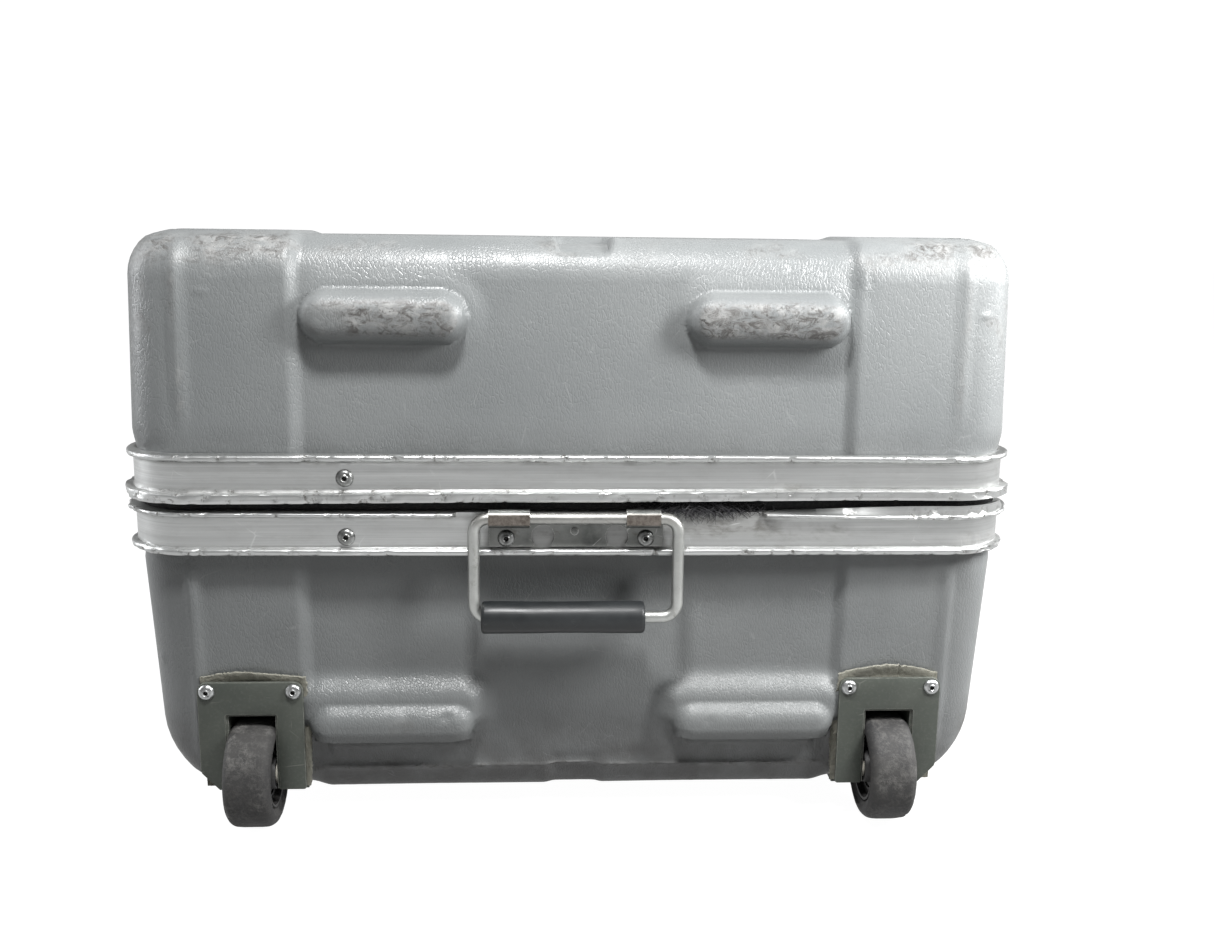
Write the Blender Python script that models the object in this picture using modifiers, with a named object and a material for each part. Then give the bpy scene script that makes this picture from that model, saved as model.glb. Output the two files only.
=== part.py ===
"""Rolling flight case: two moulded shells in aluminium valance frames, hinged along the left side.

Frame: metres, +Z up, +X to the right and -Y towards the wheeled end. The origin is the centre of the flat
field under the base. The lid opens on hinges on the left side, and the latches are on the right side.
"""

import math

import bmesh
import bpy
from mathutils import Matrix, Vector

# Whole case
CASE_WIDTH = 0.5284  # X, across the flats of the frames
CASE_DEPTH = 0.6100  # Y, across the flats of the frames
PARTING_Z = 0.1765  # lid and base meet here
HALF_X = CASE_WIDTH / 2
HALF_Y = CASE_DEPTH / 2
GAP = 0.0003  # between pieces that touch on the real case

# Moulded shells. Corner zones stand proud of the fields between them.
SHELL_WALL = 0.0040
ZONE_RISE = 0.0045
ZONE_EDGE_X = 0.1600
ZONE_EDGE_Y = HALF_Y - (HALF_X - ZONE_EDGE_X)
CORNER_RADIUS = 0.0330
LID_TOP_Z = PARTING_Z + 0.1565
LID_RIM_Z = PARTING_Z + 0.0075
LID_RIM_INSET = 0.0039
LID_DRAFT = 0.0225
LID_ROUND = 0.0240
BASE_BOTTOM_Z = 0.0
BASE_RIM_Z = PARTING_Z - 0.0045
BASE_RIM_INSET = 0.0048
BASE_DRAFT = 0.0699
BASE_SIDE_DRAFT = 0.0520
BASE_SIDE_ROUND = 0.0380
BASE_END_ROUND = 0.0100
CORNER_STEPS = 5
ROUND_STEPS = 4

# Bumpers moulded into both ends of each shell: inner and outer |x|, low and high z, and outward reach
LID_BUMP_X = (0.0660, 0.1605)
LID_BUMP_Z = (PARTING_Z + 0.0980, PARTING_Z + 0.1280)
LID_BUMP_REACH = 0.0025
BASE_BUMP_X = (0.0635, 0.1565)
BASE_BUMP_Z = (PARTING_Z - 0.1500, PARTING_Z - 0.1130)
BASE_BUMP_REACH = -0.0040
BUMP_ROUND = 0.0085

# Valance frames, from the parting plane
FRAME_CORNER_RADIUS = 0.0400
FRAME_SKIN = 0.0022
CHANNEL_DEPTH = 0.0168
CHANNEL_LEG = 0.0015
LEG_LENGTH = 0.0200
LID_FRAME_Z = (0.0047, 0.0323)
BASE_FRAME_Z = (-0.0018, -0.0278)
LID_LOWER_BEAD = 0.0054
LID_UPPER_BEAD = 0.0037
BASE_UPPER_BEAD = 0.0046
BASE_LOWER_BEAD = 0.0036
BEAD_HEIGHT = 0.0046
SEAL_INSET = (0.0040, 0.0090)

# Pull handles at both ends
BAIL_RADIUS = 0.0035
BAIL_HALF_WIDTH = 0.05975
BAIL_DROP = 0.0595
BAIL_CORNER = 0.0065
BAIL_STANDOFF = 0.0077  # wire centre from the frame's flat
BAIL_PIVOT_Z = PARTING_Z - 0.0040
KNUCKLE_RADIUS = 0.0054
KNUCKLE_BORE = 0.0039
KNUCKLES = ((-0.0510, -0.0270), (0.0290, 0.0490))
HANDLE_PLATE_HALF = 0.0510
HANDLE_RIVET_X = 0.0410
HANDLE_RIVET_Z = PARTING_Z - 0.0170
HANDLE_NOTCH_X = (0.0150, 0.0325)
HANDLE_NOTCH_TOP = PARTING_Z - 0.0125
PLATE = 0.0016
PLATE_FOOT_Z = PARTING_Z - 0.0220  # lowest edge of every plate on the base frame
GRIP_RADIUS = 0.0095
GRIP_BORE = 0.0056
GRIP_LENGTH = 0.0960
FRONT_GRIP_SHIFT = -0.0075

# Pop rivets
RIVET_HEAD = 0.0048
RIVET_HEIGHT = 0.0021
RIVET_SHANK = 0.00235
RIVET_HOLE = 0.00275

# Hinges on the left side
HINGE_Y = 0.1900
HINGE_LENGTH = 0.0600
HINGE_STANDOFF = 0.0050
HINGE_Z = PARTING_Z + 0.0008
HINGE_KNUCKLE = 0.0040
HINGE_PIN = 0.0016
HINGE_BORE = 0.00195

# Lid stays: at each end two equal links, which make a rhombus with the hinge and their own rivets
STAY_X = -0.1340
STAY_HALF_APART = 0.0175
STAY_LID_Z = HINGE_Z + STAY_HALF_APART
STAY_BASE_Z = HINGE_Z - STAY_HALF_APART
STAY_LENGTH = math.hypot(HALF_X + HINGE_STANDOFF + STAY_X, STAY_HALF_APART)
STAY_HALF_WIDTH = 0.0060
STAY_THICK = 0.0015
STAY_PLANE = CHANNEL_DEPTH + 0.0005  # outer face of the lower links, inward from the frame's flat
STAY_STEP = STAY_THICK + 0.0005

# Draw latches on the right side
LATCH_Y = 0.1700
LEVER_PIVOT = (0.0064, PARTING_Z - 0.0095)  # outward from the flat, and Z
HOOK_PIVOT = (0.0047, PARTING_Z - 0.0195)
LEVER_HALF = 0.0155
LEVER_FOOT_Z = PARTING_Z - 0.0440

# Wheels, in steel housings let into the front lower corners
WHEEL_X = 0.1950
WHEEL_Y = -HALF_Y + 0.0145
WHEEL_Z = PARTING_Z - 0.1691
WHEEL_RADIUS = 0.0328
WHEEL_WIDTH = 0.0285
HUB_RADIUS = 0.0215
BUSH_RADIUS = 0.0068
AXLE_RADIUS = 0.0038
AXLE_HEAD = 0.0050
WHEEL_PLATE = 0.0023
WHEEL_PLATE_HALF = 0.0315
WHEEL_PLATE_Y = -HALF_Y + 0.0060
WHEEL_PLATE_TOP = PARTING_Z - 0.1080
WHEEL_SLOT_HALF = 0.0155
WHEEL_SLOT_TOP = PARTING_Z - 0.1285
CUP_WALL = 0.0015
CUP_BACK = WHEEL_Y + WHEEL_RADIUS + 0.0033
PAD_THICK = 0.0024
WHEEL_RIVET_X = 0.0257
WHEEL_RIVET_Z = PARTING_Z - 0.1140
WHEEL_RIVET_GRIP = 0.0153  # plate, pad and shell
BASE_SLOPE = math.atan(BASE_DRAFT)

COLOURS = {
    "shell_plastic": ((0.250, 0.268, 0.280), 0.45, 0.0),
    "frame_aluminium": ((0.560, 0.570, 0.575), 0.35, 1.0),
    "seal_rubber": ((0.015, 0.015, 0.017), 0.85, 0.0),
    "housing_paint": ((0.070, 0.078, 0.068), 0.50, 0.0),
    "pad_fibre": ((0.300, 0.270, 0.225), 0.90, 0.0),
    "zinc_steel": ((0.480, 0.480, 0.460), 0.35, 1.0),
    "rivet_aluminium": ((0.720, 0.730, 0.740), 0.30, 1.0),
    "grip_plastic": ((0.016, 0.017, 0.018), 0.40, 0.0),
    "tyre_rubber": ((0.022, 0.022, 0.023), 0.75, 0.0),
    "hub_plastic": ((0.018, 0.018, 0.020), 0.45, 0.0),
    "bush_nylon": ((0.600, 0.580, 0.500), 0.50, 0.0),
    "stay_steel": ((0.430, 0.420, 0.390), 0.40, 1.0),
}


# Scene, materials and objects


def clear_scene():
    for obj in list(bpy.data.objects):
        bpy.data.objects.remove(obj)


def make_materials():
    for name, (colour, roughness, metallic) in COLOURS.items():
        made = bpy.data.materials.new(name)
        made.use_nodes = True
        shader = made.node_tree.nodes["Principled BSDF"]
        shader.inputs["Base Color"].default_value = (*colour, 1.0)
        shader.inputs["Roughness"].default_value = roughness
        shader.inputs["Metallic"].default_value = metallic


def collection(name):
    made = bpy.data.collections.new(name)
    bpy.context.scene.collection.children.link(made)
    return made


def add_part(name, mesh, material, pivot=None):
    """A named part. Its origin is the pivot, and it's parented to the pivot's empty."""
    obj = bpy.data.objects.new(name, mesh)
    PARTS.objects.link(obj)
    mesh.materials.clear()
    mesh.materials.append(bpy.data.materials[material])
    mesh.shade_smooth()
    mesh.set_sharp_from_angle(angle=math.radians(32))
    if pivot is not None:
        mesh.transform(Matrix.Translation(-pivot.location))
        obj.parent = pivot
    return obj


def add_pivot(name, place):
    empty = bpy.data.objects.new(name, None)
    empty.location = place
    empty.empty_display_size = 0.03
    PARTS.objects.link(empty)
    return empty


def boolean(obj, mesh, operation):
    helper = bpy.data.objects.new(f"{obj.name}.{operation.lower()}", mesh)
    helper.hide_render = True
    helper.display_type = "WIRE"
    CUTTERS.objects.link(helper)
    step = obj.modifiers.new(operation.title(), "BOOLEAN")
    step.operation = operation
    step.solver = "EXACT"
    step.object = helper


def join(obj, *meshes):
    for mesh in meshes:
        boolean(obj, mesh, "UNION")


def cut(obj, *meshes):
    for mesh in meshes:
        boolean(obj, mesh, "DIFFERENCE")


# Basic shapes


def mesh_of(bm, name="shape"):
    bmesh.ops.recalc_face_normals(bm, faces=bm.faces)
    mesh = bpy.data.meshes.new(name)
    bm.to_mesh(mesh)
    bm.free()
    return mesh


def add_box(bm, low, high):
    low, high = Vector(low), Vector(high)
    size = Matrix.Diagonal((*(high - low), 1.0))
    return bmesh.ops.create_cube(bm, size=1.0, matrix=Matrix.Translation((low + high) / 2) @ size)


def boxes(*corners):
    """Separate boxes in one mesh, each from a low and a high corner in any order."""
    bm = bmesh.new()
    for a, b in corners:
        add_box(bm, [min(p, q) for p, q in zip(a, b)], [max(p, q) for p, q in zip(a, b)])
    return mesh_of(bm)


def rounded_box(low, high, radius, steps):
    bm = bmesh.new()
    add_box(bm, low, high)
    bmesh.ops.bevel(bm, geom=bm.edges[:], offset=radius, segments=steps, profile=0.5, affect="EDGES")
    return mesh_of(bm)


def rods(radius, *ends, sides=12):
    """Separate round rods in one mesh, each from one end to the other."""
    bm = bmesh.new()
    for a, b in ends:
        a, b = Vector(a), Vector(b)
        turn = (b - a).to_track_quat("Z", "X").to_matrix().to_4x4()
        place = Matrix.Translation((a + b) / 2) @ turn
        bmesh.ops.create_cone(
            bm,
            cap_ends=True,
            segments=sides,
            radius1=radius,
            radius2=radius,
            depth=(b - a).length,
            matrix=place,
        )
    return mesh_of(bm)


def rounded_rectangle(half_x, half_y, radius, steps):
    """Points anticlockwise from the right-hand corner at the front."""
    points = []
    for quarter, (sx, sy) in enumerate(((1, -1), (1, 1), (-1, 1), (-1, -1))):
        for step in range(steps + 1):
            angle = math.radians(90 * (quarter - 1 + step / steps))
            x = sx * (half_x - radius) + radius * math.cos(angle)
            y = sy * (half_y - radius) + radius * math.sin(angle)
            points.append((x, y))
    return points


def poly_curve(name, points, plane="2D"):
    curve = bpy.data.curves.new(name, "CURVE")
    curve.dimensions = plane
    spline = curve.splines.new("POLY")
    spline.points.add(len(points) - 1)
    for target, point in zip(spline.points, points):
        target.co = (*point, *(0.0,) * (3 - len(point)), 1.0)
    spline.use_cyclic_u = True
    return curve


def curve_to_mesh(curve, place=Matrix()):
    obj = bpy.data.objects.new("curve", curve)
    CUTTERS.objects.link(obj)
    obj.matrix_world = place
    bpy.context.view_layer.update()
    graph = bpy.context.evaluated_depsgraph_get()
    mesh = bpy.data.meshes.new_from_object(obj.evaluated_get(graph))
    mesh.transform(place)
    bm = bmesh.new()
    bm.from_mesh(mesh)
    bmesh.ops.remove_doubles(bm, verts=bm.verts, dist=1e-6)
    bpy.data.objects.remove(obj)
    return mesh_of(bm)


def turned(profile, steps, axis, place):
    """A profile of (radius, height) swept round an axis. It runs down its outer side."""
    bm = bmesh.new()
    closed = profile[0] == profile[-1]
    points = profile[:-1] if closed else profile
    verts = [bm.verts.new((radius, 0.0, height)) for radius, height in points]
    for first, second in zip(verts, verts[1:]):
        bm.edges.new((first, second))
    if closed:
        bm.edges.new((verts[-1], verts[0]))
    mesh = bpy.data.meshes.new("profile")
    bm.to_mesh(mesh)
    bm.free()
    obj = bpy.data.objects.new("profile", mesh)
    CUTTERS.objects.link(obj)
    screw = obj.modifiers.new("Screw", "SCREW")
    screw.steps = screw.render_steps = steps
    screw.use_merge_vertices = True
    screw.merge_threshold = 1e-5
    graph = bpy.context.evaluated_depsgraph_get()
    result = bpy.data.meshes.new_from_object(obj.evaluated_get(graph))
    bpy.data.objects.remove(obj)
    turn = Vector(axis).to_track_quat("Z", "X").to_matrix().to_4x4()
    result.transform(Matrix.Translation(place) @ turn)
    bm = bmesh.new()
    bm.from_mesh(result)
    return mesh_of(bm)


# Moulded shells


def rounding(height, radius):
    """How far a rounded edge has drawn in at this height from the closed end."""
    if height >= radius:
        return 0.0
    return radius - math.sqrt(radius**2 - (radius - height) ** 2)


def moulded_block(rim_z, end_z, rim_inset, drafts, side_round, end_round, corner_radius):
    """A drafted block with a rounded closed end, as a loft between its horizontal sections."""
    heights = {abs(end_z - rim_z)}
    for radius in (side_round, end_round):
        for step in range(ROUND_STEPS + 1):
            heights.add(round(radius * (1 - math.cos(math.pi / 2 * step / ROUND_STEPS)), 6))
    towards_rim = 1 if rim_z > end_z else -1
    bm = bmesh.new()
    rings = []
    for height in sorted(heights):
        z = end_z + towards_rim * height
        side_inset, end_inset = (rim_inset + draft * abs(rim_z - z) for draft in drafts)
        half_x = HALF_X - side_inset - rounding(height, side_round)
        half_y = HALF_Y - end_inset - rounding(height, end_round)
        outline = rounded_rectangle(half_x, half_y, corner_radius, CORNER_STEPS)
        rings.append([bm.verts.new((x, y, z)) for x, y in outline])
    for low, high in zip(rings, rings[1:]):
        for i in range(len(low)):
            bm.faces.new((low[i - 1], low[i], high[i], high[i - 1]))
    bm.faces.new(rings[0])
    bm.faces.new(rings[-1])
    return mesh_of(bm)


def corner_columns(low_z, high_z):
    """Boxes that hold the four corner zones."""
    far_x, far_y = HALF_X + 0.05, HALF_Y + 0.05
    return boxes(
        *(
            ((sx * ZONE_EDGE_X, sy * ZONE_EDGE_Y, low_z), (sx * far_x, sy * far_y, high_z))
            for sx in (-1, 1)
            for sy in (-1, 1)
        )
    )


def bump(side, end, x_range, z_range, reach):
    """One bumper, on side -1 left or 1 right, at end -1 front or 1 rear. Reach is from the frame's flat."""
    low = (side * x_range[0], end * (HALF_Y - 0.030), z_range[0])
    high = (side * x_range[1], end * (HALF_Y + reach), z_range[1])
    low, high = [min(p, q) for p, q in zip(low, high)], [max(p, q) for p, q in zip(low, high)]
    return rounded_box(low, high, BUMP_ROUND, 3)


def build_shell(name, rim_z, end_z, rim_inset, drafts, rounds, bump_x, bump_z, reach, pivot=None):
    outward = 1 if end_z > rim_z else -1
    rim_gap = outward * 0.0002
    zones = moulded_block(
        rim_z + rim_gap, end_z + outward * ZONE_RISE, rim_inset, drafts, *rounds, CORNER_RADIUS
    )
    field = moulded_block(rim_z, end_z, rim_inset + ZONE_RISE, drafts, *rounds, CORNER_RADIUS - ZONE_RISE)
    cavity = moulded_block(
        rim_z - outward * 0.005,
        end_z - outward * SHELL_WALL,
        rim_inset + ZONE_RISE + SHELL_WALL - drafts[1] * 0.005,
        drafts,
        *[radius - SHELL_WALL for radius in rounds],
        CORNER_RADIUS - ZONE_RISE - SHELL_WALL,
    )
    shell = add_part(name, zones, "shell_plastic", pivot)
    boolean(shell, corner_columns(end_z - 0.4, end_z + 0.4), "INTERSECT")
    join(shell, field)
    join(shell, *(bump(side, end, bump_x, bump_z, reach) for side in (-1, 1) for end in (-1, 1)))
    cut(shell, cavity)
    return shell


# Valance frames and seal


def bead(edge_z, away, reach):
    """Profile points of one rounded bead, from the end edge of the frame towards its middle."""
    far = edge_z + away * BEAD_HEIGHT
    return [
        (reach * 0.62, edge_z),
        (reach, edge_z + away * 0.0013),
        (reach, far - away * 0.0015),
        (reach * 0.5, far),
        (0.0, far + away * 0.0006),
    ]


def frame_profile(z_range, parting_bead, outer_bead):
    """Closed section of a valance: a skin with two beads, a web at the parting plane, and an inner leg."""
    near, far = z_range
    away = 1 if far > near else -1
    web = near + away * 0.0022
    leg = near + away * LEG_LENGTH
    outside = bead(near, away, parting_bead) + bead(far, -away, outer_bead)[::-1]
    inside = [
        (-FRAME_SKIN, far),
        (-FRAME_SKIN, web),
        (-CHANNEL_DEPTH + CHANNEL_LEG, web),
        (-CHANNEL_DEPTH + CHANNEL_LEG, leg),
        (-CHANNEL_DEPTH, leg),
        (-CHANNEL_DEPTH, near),
    ]
    return outside + inside


def swept_ring(profile):
    """A closed section of (outward, height) points carried round the case."""
    section = poly_curve("section", [(-out, height) for out, height in profile])
    section_object = bpy.data.objects.new("section", section)
    CUTTERS.objects.link(section_object)
    outline = rounded_rectangle(HALF_X, HALF_Y, FRAME_CORNER_RADIUS, CORNER_STEPS + 1)
    path = poly_curve("outline", outline)
    path.bevel_mode = "OBJECT"
    path.bevel_object = section_object
    mesh = curve_to_mesh(path, Matrix.Translation((0, 0, PARTING_Z)))
    bpy.data.objects.remove(section_object)
    return mesh


def end_drills(places, depth=0.024):
    """Drills along Y through both ends, at each (x, z)."""
    out_y, in_y = HALF_Y + 0.004, HALF_Y - depth
    ends = [((x, side * out_y, z), (x, side * in_y, z)) for x, z in places for side in (-1, 1)]
    return rods(RIVET_HOLE, *ends, sides=10)


def bead_notches(z_low, z_high, handles, latch_half):
    """Boxes that clear the beads for the hinges, the latches and, on the base, the handles."""
    reach = 0.012
    skin = 0.0001
    found = []
    for side in (-1, 1):
        half = HINGE_LENGTH / 2 + 0.001
        y = side * HINGE_Y
        found.append(((-HALF_X + skin, y - half, z_low), (-HALF_X - reach, y + half, z_high)))
        y = side * LATCH_Y
        found.append(((HALF_X - skin, y - latch_half, z_low), (HALF_X + reach, y + latch_half, z_high)))
    for end, low, high in handles:
        near_y, far_y = end * (HALF_Y - skin), end * (HALF_Y + reach)
        found.append(((low, near_y, z_low), (high, far_y, z_high)))
    return boxes(*found)


def build_frames(lid):
    base_ring = swept_ring(frame_profile(BASE_FRAME_Z, BASE_UPPER_BEAD, BASE_LOWER_BEAD))
    base_frame = add_part("base_frame", base_ring, "frame_aluminium")
    handle_room = ((-1, -0.0700, 0.1100), (1, -0.0700, 0.0700))
    handle_holes = [(x, HANDLE_RIVET_Z) for x in (-HANDLE_RIVET_X, HANDLE_RIVET_X)]
    cut(
        base_frame,
        bead_notches(PARTING_Z - 0.0073, PARTING_Z + 0.001, handle_room, 0.0260),
        end_drills(((STAY_X, STAY_BASE_Z), *handle_holes)),
    )
    lid_ring = swept_ring(frame_profile(LID_FRAME_Z, LID_LOWER_BEAD, LID_UPPER_BEAD))
    lid_frame = add_part("lid_frame", lid_ring, "frame_aluminium", lid)
    cut(
        lid_frame,
        bead_notches(PARTING_Z + 0.003, PARTING_Z + 0.0103, (), 0.0145),
        end_drills(((STAY_X, STAY_LID_Z),)),
    )
    outer, inner = (-inset for inset in SEAL_INSET)
    low, high = BASE_FRAME_Z[0] + GAP, LID_FRAME_Z[0] - GAP
    seal = swept_ring([(outer, low), (outer, high), (inner, high), (inner, low)])
    add_part("seal_gasket", seal, "seal_rubber")


# Rivets


def rivet(name, place, axis, grip, pivot=None):
    """A pop rivet. Place is on the face under its head, and grip is the thickness that it holds."""
    top = GAP + RIVET_HEIGHT
    tail = -grip - GAP
    profile = [
        (0.0, top - 0.0006),
        (0.0015, top - 0.0006),
        (0.0018, top),
        (0.0030, top - 0.0001),
        (RIVET_HEAD - 0.0004, GAP + 0.0009),
        (RIVET_HEAD, GAP),
        (RIVET_SHANK, GAP),
        (RIVET_SHANK, tail),
        (0.0036, tail),
        (0.0032, tail - 0.0013),
        (0.0, tail - 0.0016),
    ]
    return add_part(name, turned(profile, 10, axis, place), "rivet_aluminium", pivot)


# Handles


def outward(end, distance):
    """Y of a point this far outside the frame's flat at the front (-1) or rear (1)."""
    return end * (HALF_Y + distance)


def build_handle_bracket(prefix, end):
    y0, y1 = outward(end, GAP), outward(end, GAP + PLATE)
    low_z, high_z = PLATE_FOOT_Z, PARTING_Z - 0.0072
    plate = boxes(((-HANDLE_PLATE_HALF, y0, low_z), (HANDLE_PLATE_HALF, y1, high_z)))
    bracket = add_part(f"{prefix}_handle_bracket", plate, "zinc_steel")
    knuckles = [(end * -low, end * -high) for low, high in KNUCKLES]
    y_pin = outward(end, BAIL_STANDOFF)
    for low, high in knuckles:
        roll_low, roll_high = BAIL_PIVOT_Z - KNUCKLE_RADIUS + 0.0001, BAIL_PIVOT_Z - 0.0034
        join(
            bracket,
            boxes(((low, y0, roll_low), (high, y_pin, roll_high))),
            rods(KNUCKLE_RADIUS, ((low, y_pin, BAIL_PIVOT_Z), (high, y_pin, BAIL_PIVOT_Z)), sides=16),
        )
    reach = 0.080
    notch_near, notch_far = HANDLE_NOTCH_X
    back_y, front_y = y0 - end * 0.001, y1 + end * 0.001
    notches = [
        ((side * notch_near, back_y, low_z - 0.001), (side * notch_far, front_y, HANDLE_NOTCH_TOP))
        for side in (-1, 1)
    ]
    holes = [
        ((x, outward(end, -0.002), HANDLE_RIVET_Z), (x, outward(end, 0.005), HANDLE_RIVET_Z))
        for x in (-HANDLE_RIVET_X, HANDLE_RIVET_X)
    ]
    cut(
        bracket,
        rods(KNUCKLE_BORE, ((-reach, y_pin, BAIL_PIVOT_Z), (reach, y_pin, BAIL_PIVOT_Z)), sides=16),
        boxes(*notches),
        rods(RIVET_HOLE, *holes, sides=10),
    )
    face = GAP + PLATE
    for label, x in (("left", -HANDLE_RIVET_X), ("right", HANDLE_RIVET_X)):
        place = (x, outward(end, face), HANDLE_RIVET_Z)
        rivet(f"{prefix}_handle_rivet_{label}", place, (0, end, 0), face + FRAME_SKIN)


def build_bail(prefix, end, pivot):
    """The wire loop, hanging down, with its upper bar in the bracket's knuckles."""
    outline = rounded_rectangle(BAIL_HALF_WIDTH, BAIL_DROP / 2, BAIL_CORNER, 4)
    wire = poly_curve("wire", outline, "3D")
    wire.bevel_depth = BAIL_RADIUS
    wire.bevel_resolution = 2
    centre = (0, outward(end, BAIL_STANDOFF), BAIL_PIVOT_Z - BAIL_DROP / 2)
    mesh = curve_to_mesh(wire, Matrix.Translation(centre) @ Matrix.Rotation(math.pi / 2, 4, "X"))
    add_part(f"{prefix}_handle_bail", mesh, "zinc_steel", pivot)


def build_grip(prefix, end, pivot, shift):
    half = GRIP_LENGTH / 2
    round_off = 0.0015
    profile = [
        (GRIP_BORE, half),
        (GRIP_RADIUS - round_off, half),
        (GRIP_RADIUS, half - round_off),
        (GRIP_RADIUS, -half + round_off),
        (GRIP_RADIUS - round_off, -half),
        (GRIP_BORE, -half),
        (GRIP_BORE, half),
    ]
    place = (shift, outward(end, BAIL_STANDOFF), BAIL_PIVOT_Z - BAIL_DROP)
    add_part(f"{prefix}_handle_grip", turned(profile, 20, (1, 0, 0), place), "grip_plastic", pivot)


def build_handles():
    for prefix, end, shift in (("front", -1, FRONT_GRIP_SHIFT), ("rear", 1, 0.0)):
        pivot = add_pivot(f"{prefix}_handle_pivot", (0, outward(end, BAIL_STANDOFF), BAIL_PIVOT_Z))
        build_handle_bracket(prefix, end)
        build_bail(prefix, end, pivot)
        build_grip(prefix, end, pivot, shift)


# Lid stays


def stay_link(name, start, angle, end, plane, pivot):
    """A flat link with a hole at both ends. Plane is its outer face, inward from the frame's flat."""
    steps = 6
    points = []
    for centre, turn in ((0.0, 90), (STAY_LENGTH, -90)):
        for step in range(steps + 1):
            a = math.radians(turn + 180 * step / steps)
            points.append((centre + STAY_HALF_WIDTH * math.cos(a), STAY_HALF_WIDTH * math.sin(a)))
    curve = poly_curve("link", points)
    curve.fill_mode = "BOTH"
    curve.extrude = STAY_THICK / 2
    place = Matrix.Translation((start[0], end * (HALF_Y - plane - STAY_THICK / 2), start[1]))
    upright = Matrix.Rotation(math.pi / 2, 4, "X") @ Matrix.Rotation(angle, 4, "Z")
    link = add_part(name, curve_to_mesh(curve, place @ upright), "stay_steel", pivot)
    tip = (start[0] + STAY_LENGTH * math.cos(angle), start[1] + STAY_LENGTH * math.sin(angle))
    outer_y, inner_y = end * (HALF_Y - plane + 0.005), end * (HALF_Y - plane - 0.005)
    holes = [((x, outer_y, z), (x, inner_y, z)) for x, z in (start, tip)]
    cut(link, rods(RIVET_HOLE, *holes, sides=10))


def stay_pin(name, end, pivot):
    """The pin at the middle of a folded stay, flush with the lower link and headed on the inside."""
    middle_x = 2 * STAY_X + HALF_X + HINGE_STANDOFF
    head = STAY_STEP + STAY_THICK + GAP
    profile = [
        (0.0, head + 0.0013),
        (0.0038, head + 0.0011),
        (0.0045, head),
        (RIVET_SHANK, head),
        (RIVET_SHANK, 0.0),
        (0.0, 0.0),
    ]
    place = (middle_x, end * (HALF_Y - STAY_PLANE), HINGE_Z)
    add_part(name, turned(profile, 12, (0, -end, 0), place), "zinc_steel", pivot)


def build_stays(lid):
    """Folded between the shells, both links of a stay run from their rivets to one pin on the right."""
    fold = math.asin(STAY_HALF_APART / STAY_LENGTH)
    upper_plane = STAY_PLANE + STAY_STEP
    for prefix, end in (("front", -1), ("rear", 1)):
        flat_y = end * HALF_Y
        lower = add_pivot(f"{prefix}_stay_lower_pivot", (STAY_X, flat_y, STAY_BASE_Z))
        upper = add_pivot(f"{prefix}_stay_upper_pivot", (STAY_X, flat_y, STAY_LID_Z))
        stay_link(f"{prefix}_stay_lower_link", (STAY_X, STAY_BASE_Z), fold, end, STAY_PLANE, lower)
        stay_link(f"{prefix}_stay_upper_link", (STAY_X, STAY_LID_Z), -fold, end, upper_plane, upper)
        stay_pin(f"{prefix}_stay_pin", end, lower)
        base_place, lid_place = (STAY_X, flat_y, STAY_BASE_Z), (STAY_X, flat_y, STAY_LID_Z)
        rivet(f"{prefix}_stay_rivet_base", base_place, (0, end, 0), STAY_PLANE + STAY_THICK)
        rivet(f"{prefix}_stay_rivet_lid", lid_place, (0, end, 0), upper_plane + STAY_THICK, lid)


# Hinges


def build_hinge(prefix, y, lid):
    x_flat = -HALF_X - GAP
    x_face = x_flat - PLATE
    x_pin = -HALF_X - HINGE_STANDOFF
    half = HINGE_LENGTH / 2
    middle = 0.0120

    def leaf(name, z_low, z_high, neck, spans, pivot):
        plate = boxes(((x_flat, y - half, z_low), (x_face, y + half, z_high)))
        part = add_part(name, plate, "zinc_steel", pivot)
        for low, high in spans:
            join(
                part,
                boxes(((x_flat, y + low, neck[0]), (x_pin, y + high, neck[1]))),
                rods(HINGE_KNUCKLE, ((x_pin, y + low, HINGE_Z), (x_pin, y + high, HINGE_Z))),
            )
        cut(part, rods(HINGE_BORE, ((x_pin, y - half - 0.01, HINGE_Z), (x_pin, y + half + 0.01, HINGE_Z))))

    outer_spans = ((-half, -middle - GAP), (middle + GAP, half))
    leaf(
        f"{prefix}_hinge_base_leaf",
        PLATE_FOOT_Z,
        PARTING_Z - 0.0035,
        (PARTING_Z - 0.0050, PARTING_Z - 0.0008),
        outer_spans,
        None,
    )
    leaf(
        f"{prefix}_hinge_lid_leaf",
        PARTING_Z + 0.0062,
        PARTING_Z + 0.0238,
        (PARTING_Z + 0.0036, PARTING_Z + 0.0078),
        ((-middle, middle),),
        lid,
    )
    pin = rods(HINGE_PIN, ((x_pin, y - half, HINGE_Z), (x_pin, y + half, HINGE_Z)))
    add_part(f"{prefix}_hinge_pin", pin, "zinc_steel")


# Latches


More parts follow.
